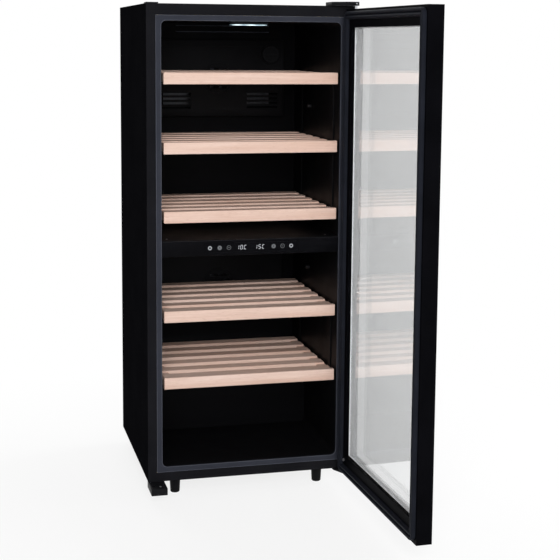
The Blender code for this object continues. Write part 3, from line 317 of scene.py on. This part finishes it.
def finish(name, light, dark, roughness, patch=0.09, grain=0.0010, relief=0.000015, stretch=(1, 1, 1),
           spread=0.05, tint=None, **sockets):
    """A surface that drifts between two tones and two roughnesses, in patches, and has a fine relief."""
    made, tree, shader, place = blank(name, **sockets)
    drift = noise(tree, place, patch, stretch)
    colour = ramp(tree, drift, (0.32, dark), (0.68, light))
    tree.links.new(tint(tree, place, colour) if tint else colour, shader.inputs["Base Color"])
    tree.links.new(remap(tree, drift, 0.3, 0.7, roughness - spread, roughness + spread),
                   shader.inputs["Roughness"])
    if relief:
        bumps = noise(tree, place, grain, stretch, 2.0)
        bump = add(tree, "Bump", Height=bumps, Distance=relief, Strength=1.0)
        tree.links.new(bump.outputs[0], shader.inputs["Normal"])
    return made


def axis(tree, place, name):
    return add(tree, "SeparateXYZ", Vector=place).outputs[name]


def mix(tree, factor, one, two):
    return add(tree, "MixRGB", Fac=factor, Color1=one, Color2=two).outputs[0]


def flange_colour_and_painted_cavity_shade(tree, place, colour):
    """Blue-grey on the flange that frames the cavity; inside it the walls are painted near black, as painted
    shade.
    """
    front = AT.translation.y
    painted_cavity_shade = remap(tree, axis(tree, place, "Y"), front + 0.003, front + 0.008)
    return mix(tree, painted_cavity_shade, colour, rgb(12, 12, 14))


def painted_side_shade(tree, place, colour):
    """Painted shade: the casing's faces behind its front edge are painted a little darker than that edge."""
    behind = remap(tree, axis(tree, place, "Y"), AT.translation.y + 0.0008, AT.translation.y + 0.0016)
    return mix(tree, behind, colour, mix(tree, 0.4, colour, rgb(2, 2, 3)))


def wood(name):
    """Sealed beech: long straight grain, fine pores and short darker flecks, all along X."""
    made, tree, shader, place = blank(name, Specular_IOR_Level=0.3, Coat_Weight=0.08, Coat_Roughness=0.35)
    broad = noise(tree, place, 0.03, (14, 1, 1), 2.0)
    grain = noise(tree, place, 0.004, (60, 1, 1), 4.0)
    pores = noise(tree, place, 0.0009, (30, 1, 1), 2.0)
    along = add(tree, "Mapping", Vector=place, Scale=(0.14, 1.0, 1.0)).outputs[0]
    flecks = add(tree, "TexVoronoi", {"feature": "F1"}, Scale=1 / 0.004, Vector=along).outputs["Distance"]
    base = ramp(tree, broad, (0.3, rgb(213, 181, 165)), (0.5, rgb(221, 193, 179)), (0.7, rgb(227, 202, 190)))
    lines = mix(tree, remap(tree, grain, 0.38, 0.62, 0.22, 0.0), base, rgb(188, 150, 129))
    dots = mix(tree, remap(tree, flecks, 0.1, 0.2, 0.3, 0.0), lines, rgb(171, 129, 106))
    fine = mix(tree, remap(tree, pores, 0.35, 0.5, 0.18, 0.0), dots, rgb(181, 141, 118))
    tree.links.new(fine, shader.inputs["Base Color"])
    tree.links.new(remap(tree, grain, 0.3, 0.7, 0.56, 0.42), shader.inputs["Roughness"])
    bump = add(tree, "Bump", Height=pores, Distance=0.00003, Strength=1.0)
    bump = add(tree, "Bump", Height=grain, Distance=0.00006, Strength=1.0, Normal=bump.outputs[0])
    tree.links.new(bump.outputs[0], shader.inputs["Normal"])
    return made


def lamp(name, half, pitch, first):
    """A lit frosted lens with a row of small prisms, brightest in front of its diodes.

    It fades to the right. Half is half its length, pitch the distance between diodes and first the place
    of one of them.
    """
    made, tree, shader, place = blank(name, Roughness=0.35, Base_Color=rgb(205, 225, 235))
    along = calc(tree, "SUBTRACT", axis(tree, place, "X"), AT.translation.x)
    wave = calc(tree, "COSINE", calc(tree, "MULTIPLY", calc(tree, "SUBTRACT", along, first), 2 * pi / pitch))
    diodes = remap(tree, wave, -1, 1, 0.5, 1.4)
    spots = calc(tree, "MULTIPLY", diodes, remap(tree, along, 0.010, half, 1.0, 0.3))
    level = calc(tree, "MULTIPLY", spots, remap(tree, along, -half, -half * 0.8, 0.4, 1.0))
    colour = ramp(tree, level, (0.2, (0.35, 0.75, 0.95, 1)), (0.8, (0.78, 0.95, 1, 1)))
    prisms = calc(tree, "SINE", calc(tree, "MULTIPLY", axis(tree, place, "X"), 2 * pi / 0.004))
    tree.links.new(colour, shader.inputs["Emission Color"])
    tree.links.new(calc(tree, "ADD", level, calc(tree, "MULTIPLY", prisms, 0.08)),
                   shader.inputs["Emission Strength"])
    bump = add(tree, "Bump", Height=prisms, Distance=0.0002, Strength=0.6)
    tree.links.new(bump.outputs[0], shader.inputs["Normal"])
    return made


def glow(name, colour, strength):
    """A printed symbol lit from behind, a little uneven."""
    made, tree, shader, place = blank(name, Roughness=0.4, Base_Color=(*[c * 0.1 for c in colour[:3]], 1))
    patches = noise(tree, place, 0.004)
    tree.links.new(ramp(tree, patches, (0.3, [c * 0.85 for c in colour[:3]] + [1]), (0.7, colour)),
                   shader.inputs["Emission Color"])
    tree.links.new(remap(tree, patches, 0.3, 0.7, strength * 0.9, strength * 1.05),
                   shader.inputs["Emission Strength"])
    return made


def spangle(tree, place, colour):
    """Crystal patches of a zinc coat."""
    cells = add(tree, "TexVoronoi", Scale=1 / 0.012, Vector=place).outputs["Color"]
    shade = add(tree, "SeparateColor", Color=cells).outputs[0]
    return mix(tree, remap(tree, shade, 0, 1, 0.0, 0.35), colour, rgb(225, 228, 230))


BLACK = dict(grain=0.0012, relief=0.000012)    # the fine texture of the dark plastics and paints
FINISHES = {}                                  # by the record's material slots


def dress(slot, light, dark, roughness, **settings):
    """Gives a slot its finish, from two tones of 0 to 255."""
    FINISHES[slot] = finish(slot, rgb(*light), rgb(*dark), roughness, **settings)


# The casing paint carries painted shade: its sides, top and back are darker than its front edge.
dress("casing_paint", (28, 28, 31), (24, 24, 27), 0.6, spread=0.03, tint=painted_side_shade,
      Specular_IOR_Level=0.0, **BLACK)
dress("rigid_foam", (240, 226, 188), (224, 206, 165), 0.9, patch=0.02, grain=0.002, relief=0.0002)
# The liner carries painted shade: its walls inside the cavity are painted near black behind the blue-grey flange.
dress("liner_plastic", (51, 53, 61), (46, 48, 56), 0.42, grain=0.0015, relief=0.00001, tint=flange_colour_and_painted_cavity_shade,
      Specular_IOR_Level=0.05)
dress("rear_sheet", (70, 71, 74), (58, 59, 62), 0.5, patch=0.12, Specular_IOR_Level=0.3)
dress("fascia_plastic", (14, 14, 17), (10, 10, 12), 0.3, grain=0.002, relief=0.000004,
      Specular_IOR_Level=0.02)
dress("circuit_board", (30, 110, 60), (18, 84, 44), 0.35, patch=0.004, grain=0.001, relief=0.00005)
dress("rail_plastic", (18, 18, 20), (13, 13, 15), 0.5, Specular_IOR_Level=0.08, **BLACK)
dress("duct_plastic", (20, 20, 22), (14, 14, 16), 0.5, Specular_IOR_Level=0.1, **BLACK)
dress("fan_plastic", (24, 24, 26), (17, 17, 19), 0.45, Specular_IOR_Level=0.1, **BLACK)
dress("evaporator_aluminium", (92, 94, 98), (70, 72, 76), 0.4, patch=0.03, grain=0.0006, relief=0.00002,
      stretch=(1, 1, 20), Metallic=1.0)
dress("probe_plastic", (30, 30, 33), (22, 22, 24), 0.5, patch=0.01)
dress("zinc_plate", (188, 190, 190), (160, 163, 165), 0.38, patch=0.02, tint=spangle, Metallic=1.0)
dress("compressor_paint", (30, 30, 32), (22, 22, 24), 0.32, patch=0.03, grain=0.003, relief=0.00004,
      Specular_IOR_Level=0.35)
dress("relay_plastic", (38, 38, 40), (28, 28, 30), 0.5, Specular_IOR_Level=0.3, **BLACK)
dress("tray_plastic", (188, 190, 192), (168, 170, 173), 0.5, patch=0.02)
dress("drier_copper", (214, 140, 100), (176, 100, 68), 0.3, patch=0.01, Metallic=1.0)
dress("hinge_plastic", (21, 21, 24), (15, 15, 17), 0.45, Specular_IOR_Level=0.08, **BLACK)
dress("hinge_paint", (18, 18, 21), (13, 13, 15), 0.4, Specular_IOR_Level=0.08, **BLACK)
dress("pin_steel", (226, 228, 232), (198, 200, 205), 0.24, patch=0.004, grain=0.0004, relief=0.00001,
      stretch=(1, 1, 6), Metallic=1.0)
dress("foot_plastic", (17, 17, 19), (12, 12, 14), 0.55, patch=0.02, grain=0.0008, relief=0.00003,
      Specular_IOR_Level=0.08)
FINISHES["beech"] = wood("beech")
dress("door_paint", (9, 9, 12), (6, 6, 8), 0.45, spread=0.03, Specular_IOR_Level=0.01, **BLACK)
for slot, light, dark in (("clear_glass", (0.975, 0.98, 0.98, 1), (0.965, 0.97, 0.97, 1)),
                          ("tinted_glass", (0.92, 0.925, 0.93, 1), (0.90, 0.905, 0.91, 1))):
    FINISHES[slot] = finish(slot, light, dark, 0.006, patch=0.2, relief=0, spread=0.004,
                            IOR=1.4, Transmission_Weight=1.0)
dress("spacer_plastic", (252, 252, 253), (244, 245, 246), 0.4, patch=0.02, grain=0.0006, relief=0.000005)
dress("gasket_rubber", (27, 29, 36), (21, 23, 29), 0.5, patch=0.05, grain=0.0015, relief=0.00003,
      Specular_IOR_Level=0.05)
dress("peg_plastic", (96, 96, 99), (80, 80, 84), 0.35, patch=0.003)
FINISHES["lamp_lens"] = finish("lamp_housing", rgb(26, 27, 30), rgb(18, 19, 22), 0.3, patch=0.01,
                               Specular_IOR_Level=0.1)

# Materials of the added pieces

LAMP_GLOW = lamp("lamp_glow", half=0.054, pitch=0.041, first=0.005)
SEAL_WHITE = finish("seal_white", rgb(236, 239, 241), rgb(220, 224, 227), 0.4, patch=0.03)
# Pale grey, lighter than the liner: a painted highlight along the beads round the flange and the cavity. The rear
# wall's ridges share it.
BEAD_GREY_AND_PAINTED_HIGHLIGHT = finish("bead_grey_and_painted_highlight", rgb(78, 81, 91), rgb(68, 71, 80), 0.35, patch=0.1, Specular_IOR_Level=0.2)
# A lighter grey: a painted highlight along the fascia's top edge.
EDGE_PAINTED_HIGHLIGHT = finish("edge_painted_highlight", rgb(38, 38, 42), rgb(32, 32, 35), 0.4, patch=0.1, Specular_IOR_Level=0.1)
BORDER_BLACK = finish("border_black", rgb(14, 14, 16), rgb(10, 10, 12), 0.35, Specular_IOR_Level=0.2,
                      **BLACK)
SCREW_STEEL = finish("screw_steel", rgb(205, 206, 208), rgb(168, 170, 172), 0.3, patch=0.003, grain=0.0005,
                     relief=0.00001, Metallic=1.0)
SYMBOL_BRIGHT = glow("symbol_bright", (0.9, 0.93, 1, 1), 0.85)
SYMBOL_MID = glow("symbol_mid", (0.85, 0.88, 0.94, 1), 0.38)
SYMBOL_DIM = glow("symbol_dim", (0.75, 0.78, 0.84, 1), 0.085)

for part in frame["record"]["subparts"]:
    node = frame["nodes"][part["node"]]
    node.data.materials.clear()
    node.data.materials.append(FINISHES[part["material_slot"]])
    smooth(node, weld=True)

# Sections of mouldings, in millimetres: inwards from an edge, and up from the face. The gasket, the seal
# and the bead lie within that edge, and the cavity's lip lies outside it.

GASKET_RIBS = [(0, 0), (0, 3), (0.5, 7), (1.4, 9.6), (3, 10.8), (5, 11.1), (7, 10.8), (8.6, 9.4), (9.6, 7),
               (10.2, 5.4), (11, 4.9), (11.8, 5.4), (12.6, 7), (13.6, 8.6), (15, 9.5), (17, 9.9), (19, 9.4),
               (20.4, 8), (21.2, 5.4), (21.8, 3.2), (22.5, 2.2), (23, 1.2), (23, 0)]
EDGE_SEAL = [(0.3, 0.1), (0.3, 1.6), (0.7, 2.1), (1.3, 2.2), (2.1, 1.7), (2.8, 0.8), (3.0, 0.1)]
FLANGE_BEAD = [(0, -0.3), (0.05, 0.25), (0.35, 0.42), (0.9, 0.42), (1.2, 0.25), (1.25, -0.3)]
CAVITY_LIP = [(-1.6, -0.4), (-1.5, 0.15), (-1.1, 0.4), (-0.5, 0.4), (-0.1, 0.15), (0, -0.4)]


def in_metres(section):
    """The section of a moulding, turned into metres."""
    return [(inwards * MM, up * MM) for inwards, up in section]


# Door: ribbed gasket in place of the plain one, and the pale seal at the edge of the inner pane

GASKET_CORNER, SEAL_CORNER = 0.020, 0.002
PANE_COVERED = 0.0117      # how far the door frame covers the inner pane

low, high = box("door_gasket", ON_DOOR)
Solid().ring(in_metres(GASKET_RIBS), high.x - low.x, high.z - low.z, GASKET_CORNER,
             on((low.x + high.x) / 2, low.y, (low.z + high.z) / 2, REARWARD)).piece(
    "door_gasket_ribbed", "door", FINISHES["gasket_rubber"], "gasket_rubber", ON_DOOR, ["door_gasket"])

low, high = box("inner_glass", ON_DOOR)
Solid().ring(in_metres(EDGE_SEAL), high.x - low.x - 2 * PANE_COVERED,
             high.z - low.z - 2 * PANE_COVERED, SEAL_CORNER,
             on((low.x + high.x) / 2, high.y, (low.z + high.z) / 2, REARWARD)).piece(
    "pane_edge_seal", "door", SEAL_WHITE, "spacer_plastic", ON_DOOR)

# Outer pane: black border printed on its inner face, over the frame and the spacer behind it

SPACER_WIDTH = 0.0100
BORDER_BASE, BORDER_TOP = 0.00003, 0.00013     # above the pane's inner face
BORDER_MARGIN = 0.001                          # bare glass round the border, both sides together

low, high = box("outer_glass", ON_DOOR)
spacer_low, spacer_high = box("glass_spacer", ON_DOOR)
hole = rounded(spacer_high.x - spacer_low.x - 2 * SPACER_WIDTH,
               spacer_high.z - spacer_low.z - 2 * SPACER_WIDTH, 0.0015, 3)
hole = [(x, z - (low.z + high.z) / 2 + (spacer_low.z + spacer_high.z) / 2) for x, z in hole]
border = rounded(high.x - low.x - BORDER_MARGIN, high.z - low.z - BORDER_MARGIN, 0.004)
Solid().prism(border, BORDER_BASE, BORDER_TOP, on(0, high.y, (low.z + high.z) / 2, REARWARD), [hole]).piece(
    "outer_pane_border", "door", BORDER_BLACK, "tinted_glass", ON_DOOR)

# Lamps: a lit bar below the upper housing and a flush lens in the lower one

BAR_LENS, BAR_MIDDLE = (0.106, 0.0026), -0.002
BAR_BEHIND, BAR_DROP = 0.002, 0.0032       # the bar's place, behind the upper housing's front and below it
BAR_BACK, BAR_FRONT = -0.018, -0.001       # rear and front faces of its lens, from that place
MOUNT = (0.096, 0.014)
FLUSH_LENS, FLUSH_PROUD = (0.104, 0.014), 0.0004
BURIED = 0.0002                            # how far a piece reaches into what carries it


def lens_outline(length, height, squareness=0.45, sides=48):
    """A long oval with narrow ends, about 0."""
    turns = [2 * pi * i / sides for i in range(sides)]
    return [(length / 2 * (abs(cos(t)) ** squareness) * (1 if cos(t) > 0 else -1), height / 2 * sin(t))
            for t in turns]


low, high = box("upper_lamp")
Solid().block((*MOUNT, BAR_DROP + BURIED), on(0, (low.y + high.y) / 2, low.z, DOWNWARD), corner=0.003,
              chamfer=0.0002).piece("upper_lamp_mount", "cabinet", FINISHES["lamp_lens"], "lamp_lens")
bar = on(BAR_MIDDLE, low.y + BAR_BEHIND, low.z - BAR_DROP, FORWARD)
Solid().prism(lens_outline(*BAR_LENS), BAR_BACK, BAR_FRONT, bar, chamfer=0.0006).piece(
    "upper_lamp_lens", "cabinet", LAMP_GLOW, "lamp_lens")
low, high = box("lower_lamp")
below = on(0, (low.y + high.y) / 2, low.z, DOWNWARD)
Solid().prism(lens_outline(*FLUSH_LENS), -BURIED, FLUSH_PROUD, below, chamfer=0.0002).piece(
    "lower_lamp_lens", "cabinet", LAMP_GLOW, "lamp_lens")

# Cabinet front: beads along both edges of the flange, edge of the fascia, screws and a rivet

CAVITY_SIDE, CAVITY_FLOOR, CAVITY_TOP = 0.2565, 0.0915, 1.3500
FLANGE_CORNER, CAVITY_CORNER = 0.002, 0.015
FASCIA_EDGE_HIGH, FASCIA_EDGE_DROP = 0.0011, 0.0008        # the drop is from the divider's top to its middle
DIVIDER_SCREWS = ((-0.2360, 0.042), (0.2280, 0.042))
HINGE_COVER_SCREW = 0.2868
SPARE_BLOCK_RIVET = (-0.2685, -0.043)
RIVET = [(0, 0), (0.0034, 0), (0.0034, 0.0007), (0.0028, 0.0011), (0.0012, 0.0011), (0.0009, 0.0003),
         (0, 0.0003)]

# The flange's beads are pale grey, a painted highlight along its outer and inner edges.
low, high = box("inner_liner")
Solid().ring(in_metres(FLANGE_BEAD), high.x - low.x, high.z - low.z, FLANGE_CORNER,
             on(0, 0, (low.z + high.z) / 2, FORWARD)).piece(
    "flange_bead", "cabinet", BEAD_GREY_AND_PAINTED_HIGHLIGHT, "liner_plastic")
Solid().ring(in_metres(CAVITY_LIP), 2 * CAVITY_SIDE, CAVITY_TOP - CAVITY_FLOOR, CAVITY_CORNER,
             on(0, 0, (CAVITY_TOP + CAVITY_FLOOR) / 2, FORWARD)).piece(
    "cavity_lip", "cabinet", BEAD_GREY_AND_PAINTED_HIGHLIGHT, "liner_plastic")

low, high = box("zone_divider")
# The fascia's edge is a strip of lighter grey, a painted highlight along the top of the fascia.
Solid().prism(rounded(high.x - low.x - 0.001, FASCIA_EDGE_HIGH, 0.0005, 3), -BURIED, 0.0004,
              on(0, 0, high.z - FASCIA_EDGE_DROP, FORWARD), chamfer=0.0002).piece(
    "fascia_edge", "cabinet", EDGE_PAINTED_HIGHLIGHT, "fascia_plastic")
screws = Solid()
for x, y in DIVIDER_SCREWS:
    screws.screw(on(x, y, high.z), radius=0.0026, height=0.0014)
screws.piece("divider_screws", "cabinet", SCREW_STEEL, "zinc_plate")
low, high = box("top_hinge_cover")
place = on(HINGE_COVER_SCREW, low.y, (low.z + high.z) / 2, FORWARD)
Solid().screw(place, radius=0.0022, height=0.0009).piece(
    "hinge_cover_screw", "cabinet", SCREW_STEEL, "zinc_plate")
low, high = box("spare_hinge_block")
Solid().lathe(RIVET, on(*SPARE_BLOCK_RIVET, high.z), sides=24).piece(
    "spare_block_rivet", "cabinet", SCREW_STEEL, "pin_steel")

# Control panel: touch symbols and seven-segment temperatures

DIGIT_HIGH, DIGIT_WIDE, STROKE, SLANT = 0.0110, 0.0058, 0.0012, 0.12
DIGIT_PITCH, SEGMENT_GAP = 0.0108, 0.0004
PRINT = 0.00012            # thickness of a printed symbol
READINGS = (("10C", -0.0290), ("15C", 0.0235))
SYMBOL, ARM = 0.0062, 0.0030                           # radius of a symbol, and of the sign in it
RING_OUTER, RING_HOLE, THIN_HOLE = 0.92, 0.46, 0.82    # shares of the symbol's radius
RINGS, CROSSES, BARS = (-0.1200, 0.1160), (-0.0921, 0.0644), (-0.0653, 0.0906)
SEGMENTS = {"0": "abcdef", "1": "bc", "5": "acdfg", "C": "adef"}


def segment(letter):
    """Ends of a segment in a digit cell about 0."""
    x, y = DIGIT_WIDE / 2, DIGIT_HIGH / 2
    return {"a": ((-x, y), (x, y)), "b": ((x, y), (x, 0)), "c": ((x, 0), (x, -y)), "d": ((-x, -y), (x, -y)),
            "e": ((-x, 0), (-x, -y)), "f": ((-x, y), (-x, 0)), "g": ((-x, 0), (x, 0))}[letter]


def digits(solid, text, middle, at, depth):
    """Seven-segment signs, side by side about the middle."""
    for i, sign in enumerate(text):
        shift = middle + (i - (len(text) - 1) / 2) * DIGIT_PITCH
        for letter in SEGMENTS[sign]:
            one, two = (Vector(p) for p in segment(letter))
            way = (two - one).normalized()
            side = Vector((-way.y, way.x)) * STROKE / 2
            one, two, cut = one + way * SEGMENT_GAP, two - way * SEGMENT_GAP, way * STROKE / 2
            outline = [one, one + cut - side, two - cut - side, two, two - cut + side, one + cut + side]
            solid.prism([(shift + p.x + SLANT * p.y, p.y) for p in outline], 0, depth, at)


low, high = box("display_window")
panel = on(0, low.y, (low.z + high.z) / 2, FORWARD)
bright, middling, dim = Solid(), Solid(), Solid()
for text, x in READINGS:
    digits(bright, text, x, panel, PRINT)
for x in RINGS:
    hole = circle(SYMBOL * RING_HOLE, 24, (x, 0))
    middling.prism(circle(SYMBOL * RING_OUTER, 32, (x, 0)), 0, PRINT, panel, [hole])
for x in CROSSES:
    sign = [(x + a, b) for a, b in cross(ARM, 0.0005)]
    dim.prism(circle(SYMBOL, 32, (x, 0)), 0, PRINT, panel, [sign])
for x in BARS:
    hole = circle(SYMBOL * THIN_HOLE, 28, (x, 0))
    dim.prism(circle(SYMBOL, 32, (x, 0)), 0, PRINT, panel, [hole])
    dim.prism([(x + a, b) for a, b in rounded(2 * ARM, 0.0011, 0.0004, 2)], 0, PRINT, panel)
bright.piece("symbols_bright", "cabinet", SYMBOL_BRIGHT, "lamp_lens")
middling.piece("symbol_rings", "cabinet", SYMBOL_MID, "lamp_lens")
dim.piece("symbols_dim", "cabinet", SYMBOL_DIM, "lamp_lens")

# Cavity: ridges on the rear wall, trim on the air ducts, grip of the charcoal filter

RIDGE, RIDGE_MIDDLE, RIDGE_LEVELS = (0.300, 0.0030, 0.0030), 0.020, (1.3430, 1.3240)
LOUVRE = (0.104, 0.0016, 0.0035)
LOUVRE_SIDE, LOUVRE_FIRST, LOUVRE_PITCH, LOUVRE_ROWS = 0.140, 0.0324, 0.014, 4
DUCT_RIB, DUCT_RIB_DROP = (0.380, 0.0030, 0.0022), 0.0215      # the drop is from the duct cover's top edge
GRIP = (0.040, 0.0070, 0.0030)
FAN_RING = [(0.0465, -BURIED), (0.0465, 0.0022), (0.0474, 0.0030), (0.0490, 0.0030), (0.0499, 0.0022),
            (0.0499, -BURIED)]
FAN_BOSS = [(0, 0.0028), (0.0085, 0.0028), (0.0098, 0.0014), (0.0098, -BURIED), (0, -BURIED)]
FILTER_RING = [(0.0215, -BURIED), (0.0215, 0.0010), (0.0235, 0.0010), (0.0235, -BURIED)]

wall = box("upper_duct_cover")[1].y
ridges = Solid()
for z in RIDGE_LEVELS:
    ridges.block(RIDGE, on(RIDGE_MIDDLE, wall, z, FORWARD), corner=0.0014, chamfer=0.0012)
ridges.piece("rear_wall_ridges", "cabinet", BEAD_GREY_AND_PAINTED_HIGHLIGHT, "liner_plastic")
for name in ("upper", "lower"):
    low, high = box(f"{name}_duct_cover")
    fan_low, fan_high = box(f"{name}_fan_housing")
    fan = on(0, low.y, (fan_low.z + fan_high.z) / 2, FORWARD)
    trim = Solid()
    for row in range(LOUVRE_ROWS):
        for side in (-1, 1):
            place = on(side * LOUVRE_SIDE, low.y, low.z + LOUVRE_FIRST + row * LOUVRE_PITCH, FORWARD)
            trim.block(LOUVRE, place, corner=0.0006)
    trim.lathe(FAN_RING, fan, sides=56, closed=True)
    trim.lathe(FAN_BOSS, fan)
    trim.block(DUCT_RIB, on(0, low.y, high.z - DUCT_RIB_DROP, FORWARD), corner=0.0014, chamfer=0.0010)
    trim.piece(f"{name}_duct_trim", "cabinet", FINISHES["fan_plastic"], "duct_plastic")
low, high = box("charcoal_filter")
face = on((low.x + high.x) / 2, low.y, (low.z + high.z) / 2, FORWARD)
grip = Solid().block(GRIP, face, corner=0.0030, chamfer=0.0012)
grip.lathe(FILTER_RING, face, sides=40, closed=True)
grip.piece("charcoal_filter_grip", "cabinet", FINISHES["fan_plastic"], "duct_plastic")

# Feet: knurled bands to turn them by

BAND_VALLEY, BAND_RIDGE, BAND_POINTS = 0.01565, 0.0164, 96
BAND_LOW, BAND_HIGH = 0.0412, 0.0488

radii = (BAND_VALLEY, BAND_RIDGE, BAND_RIDGE, BAND_VALLEY)
turns = [2 * pi * i / BAND_POINTS for i in range(BAND_POINTS)]
band = [(radii[i % 4] * cos(turn), radii[i % 4] * sin(turn)) for i, turn in enumerate(turns)]
for corner in ("front_left", "front_right", "rear_left", "rear_right"):
    low, high = box(f"{corner}_foot")
    foot = on((low.x + high.x) / 2, (low.y + high.y) / 2, 0)
    Solid().prism(band, BAND_LOW, BAND_HIGH, foot, chamfer=0.0004).piece(
        f"{corner}_foot_band", f"{corner}_foot", FINISHES["foot_plastic"], "foot_plastic")

# Rear: wires and clips on the condenser's coil, louvre lips, inlet pins, screws

WIRE, WIRES = 0.0007, 44
WIRE_SIDE_MARGIN, WIRE_END_MARGIN = 0.006, 0.004
CLIP, CLIP_SIDE, CLIP_MARGIN, CLIP_PROUD = (0.012, 0.020), 0.170, 0.012, 0.0012
LIP, LIP_COLUMNS, LIP_ROWS = (0.074, 0.0016, 0.0028), 4, 7
LIP_START, LIP_PITCH = (-0.175, 0.0978), (0.095, 0.018)
PIN, PIN_PLACES = (0.0020, 0.0040, 0.0095), ((0, 0.0035), (-0.0070, -0.0030), (0.0070, -0.0030))
SOCKET_WALL = 0.0015       # behind the pins' roots
REAR_SCREWS = [(side * 0.288, z) for z in (0.30, 0.62, 0.94, 1.26, 1.38) for side in (-1, 1)]
REAR_SCREWS += [(x, z) for z, row in ((1.385, (-0.19, 0, 0.19)), (0.228, (-0.285, -0.1, 0.1, 0.285)),
                                      (0.062, (-0.285, 0.285))) for x in row]

low, high = box("condenser_coil")
rear = box("back_panel")[1].y
wires = Solid()
for i in range(WIRES):
    x = low.x + WIRE_SIDE_MARGIN + i * (high.x - low.x - 2 * WIRE_SIDE_MARGIN) / (WIRES - 1)
    y = high.y + WIRE * 0.9
    wires.rod((x, y, low.z + WIRE_END_MARGIN), (x, y, high.z - WIRE_END_MARGIN), WIRE)
wires.piece("condenser_wires", "cabinet", FINISHES["compressor_paint"], "compressor_paint")
clips = Solid()
clip = (*CLIP, high.y - rear + CLIP_PROUD)
for z in (low.z + CLIP_MARGIN, (low.z + high.z) / 2, high.z - CLIP_MARGIN):
    for side in (-1, 1):
        clips.block(clip, on(side * CLIP_SIDE, rear, z, REARWARD), corner=0.002, chamfer=0.0008)
clips.piece("condenser_clips", "cabinet", FINISHES["duct_plastic"], "duct_plastic")
lips = Solid()
for column in range(LIP_COLUMNS):
    for row in range(LIP_ROWS):
        place = on(LIP_START[0] + column * LIP_PITCH[0], rear, LIP_START[1] + row * LIP_PITCH[1], REARWARD)
        lips.block(LIP, place, corner=0.0006)
lips.piece("machine_cover_lips", "cabinet", FINISHES["rear_sheet"], "rear_sheet")
low, high = box("power_inlet")
pins = Solid()
for x, z in PIN_PLACES:
    place = on((low.x + high.x) / 2 + x, low.y + SOCKET_WALL, (low.z + high.z) / 2 + z, REARWARD)
    pins.block(PIN, place, corner=0.0004, chamfer=0.0004)
pins.piece("inlet_pins", "cabinet", SCREW_STEEL, "zinc_plate")
screws = Solid()
for x, z in REAR_SCREWS:
    screws.screw(on(x, rear, z, REARWARD))
screws.piece("rear_screws", "cabinet", SCREW_STEEL, "zinc_plate")

# Camera, floor and light


def look(name, place, yaw, pitch, roll, lens, shift):
    """A camera turned right by yaw, down by pitch and then by roll, in degrees."""
    yaw, pitch, roll = (radians(a) for a in (yaw, pitch, roll))
    ahead = Vector((sin(yaw) * cos(pitch), cos(yaw) * cos(pitch), -sin(pitch)))
    right = Vector((cos(yaw), -sin(yaw), 0))
    up = right.cross(ahead)
    right, up = cos(roll) * right + sin(roll) * up, cos(roll) * up - sin(roll) * right
    camera = bpy.data.objects.new(name, bpy.data.cameras.new(name))
    bpy.context.scene.collection.objects.link(camera)
    turn = Matrix((right, up, -ahead)).transposed().to_4x4()
    camera.matrix_world = Matrix.Translation(place) @ turn
    camera.data.lens, camera.data.shift_y = lens, shift
    return camera


bpy.context.scene.camera = look("camera", (-0.8286, -3.4766, 1.2954), yaw=14.383, pitch=7.267, roll=0.468,
                                lens=82.69, shift=-0.133)
LIGHT_SIZE = 2.6


def area_light(name, place, target, power, through_glass=False):
    """A soft light that no glossy surface shows."""
    light = bpy.data.objects.new(name, bpy.data.lights.new(name, "AREA"))
    light.data.shape, light.data.size, light.data.energy = "SQUARE", LIGHT_SIZE, power
    light.location = place
    light.rotation_euler = (Vector(target) - Vector(place)).to_track_quat("-Z", "Y").to_euler()
    light.visible_glossy, light.visible_transmission = False, through_glass
    bpy.context.scene.collection.objects.link(light)


area_light("key", (-0.7, -4.4, 2.4), (0, 0.1, 0.7), 197, through_glass=True)
area_light("side", (3.8, 0.9, 2.2), (0, 0.2, 0.7), 150)
area_light("back", (-0.6, 3.9, 2.8), (0, 0.3, 0.7), 90)


def seen(tree):
    """1 for a ray that shows the background: straight, in a reflection or through glass."""
    path = add(tree, "LightPath").outputs
    return calc(tree, "MAXIMUM", calc(tree, "MAXIMUM", path["Is Camera Ray"], path["Is Glossy Ray"]),
                path["Is Transmission Ray"])


AMBIENT = 0.16     # how bright the world lights surfaces; rays that show it see white
world = bpy.data.worlds.new("studio")
bpy.context.scene.world = world
world.use_nodes = True
tree = world.node_tree
background = tree.nodes["Background"]
background.inputs["Color"].default_value = (1, 1, 1, 1)
tree.links.new(remap(tree, seen(tree), 0, 1, AMBIENT, 1.0), background.inputs["Strength"])

FLOOR_RADIUS, FLOOR_SIDES, FLOOR_DROP = 30, 64, 0.0003
SHADOWED, SHADOW_REACH = 0.82, (0.5, 1.5)      # share of plain white, and where the shadow fades out
edge = [(x, y, -FLOOR_DROP) for x, y in circle(FLOOR_RADIUS, FLOOR_SIDES)]
floor_data = bpy.data.meshes.new("floor")
floor_data.from_pydata(edge, [], [range(FLOOR_SIDES)])
floor = bpy.data.objects.new("floor", floor_data)
bpy.context.scene.collection.objects.link(floor)
made, tree, shader, place = blank("floor", Roughness=0.9, Specular_IOR_Level=0.1)
shade = noise(tree, place, 0.6)
tone = ramp(tree, shade, (0.3, (0.88, 0.88, 0.88, 1)), (0.7, (0.9, 0.9, 0.9, 1)))
tree.links.new(tone, shader.inputs["Base Color"])
away = add(tree, "VectorMath", {"operation": "LENGTH"}, _0=place).outputs["Value"]
white = add(tree, "Emission", Color=(1, 1, 1, 1), Strength=1.0).outputs[0]
blend = calc(tree, "MULTIPLY", remap(tree, away, *SHADOW_REACH, SHADOWED, 1.0), seen(tree))
both = add(tree, "MixShader", Fac=blend, _1=shader.outputs[0], _2=white).outputs[0]
tree.links.new(both, tree.nodes["Material Output"].inputs["Surface"])
floor.data.materials.append(made)

bpy.context.scene.view_settings.view_transform = "Standard"
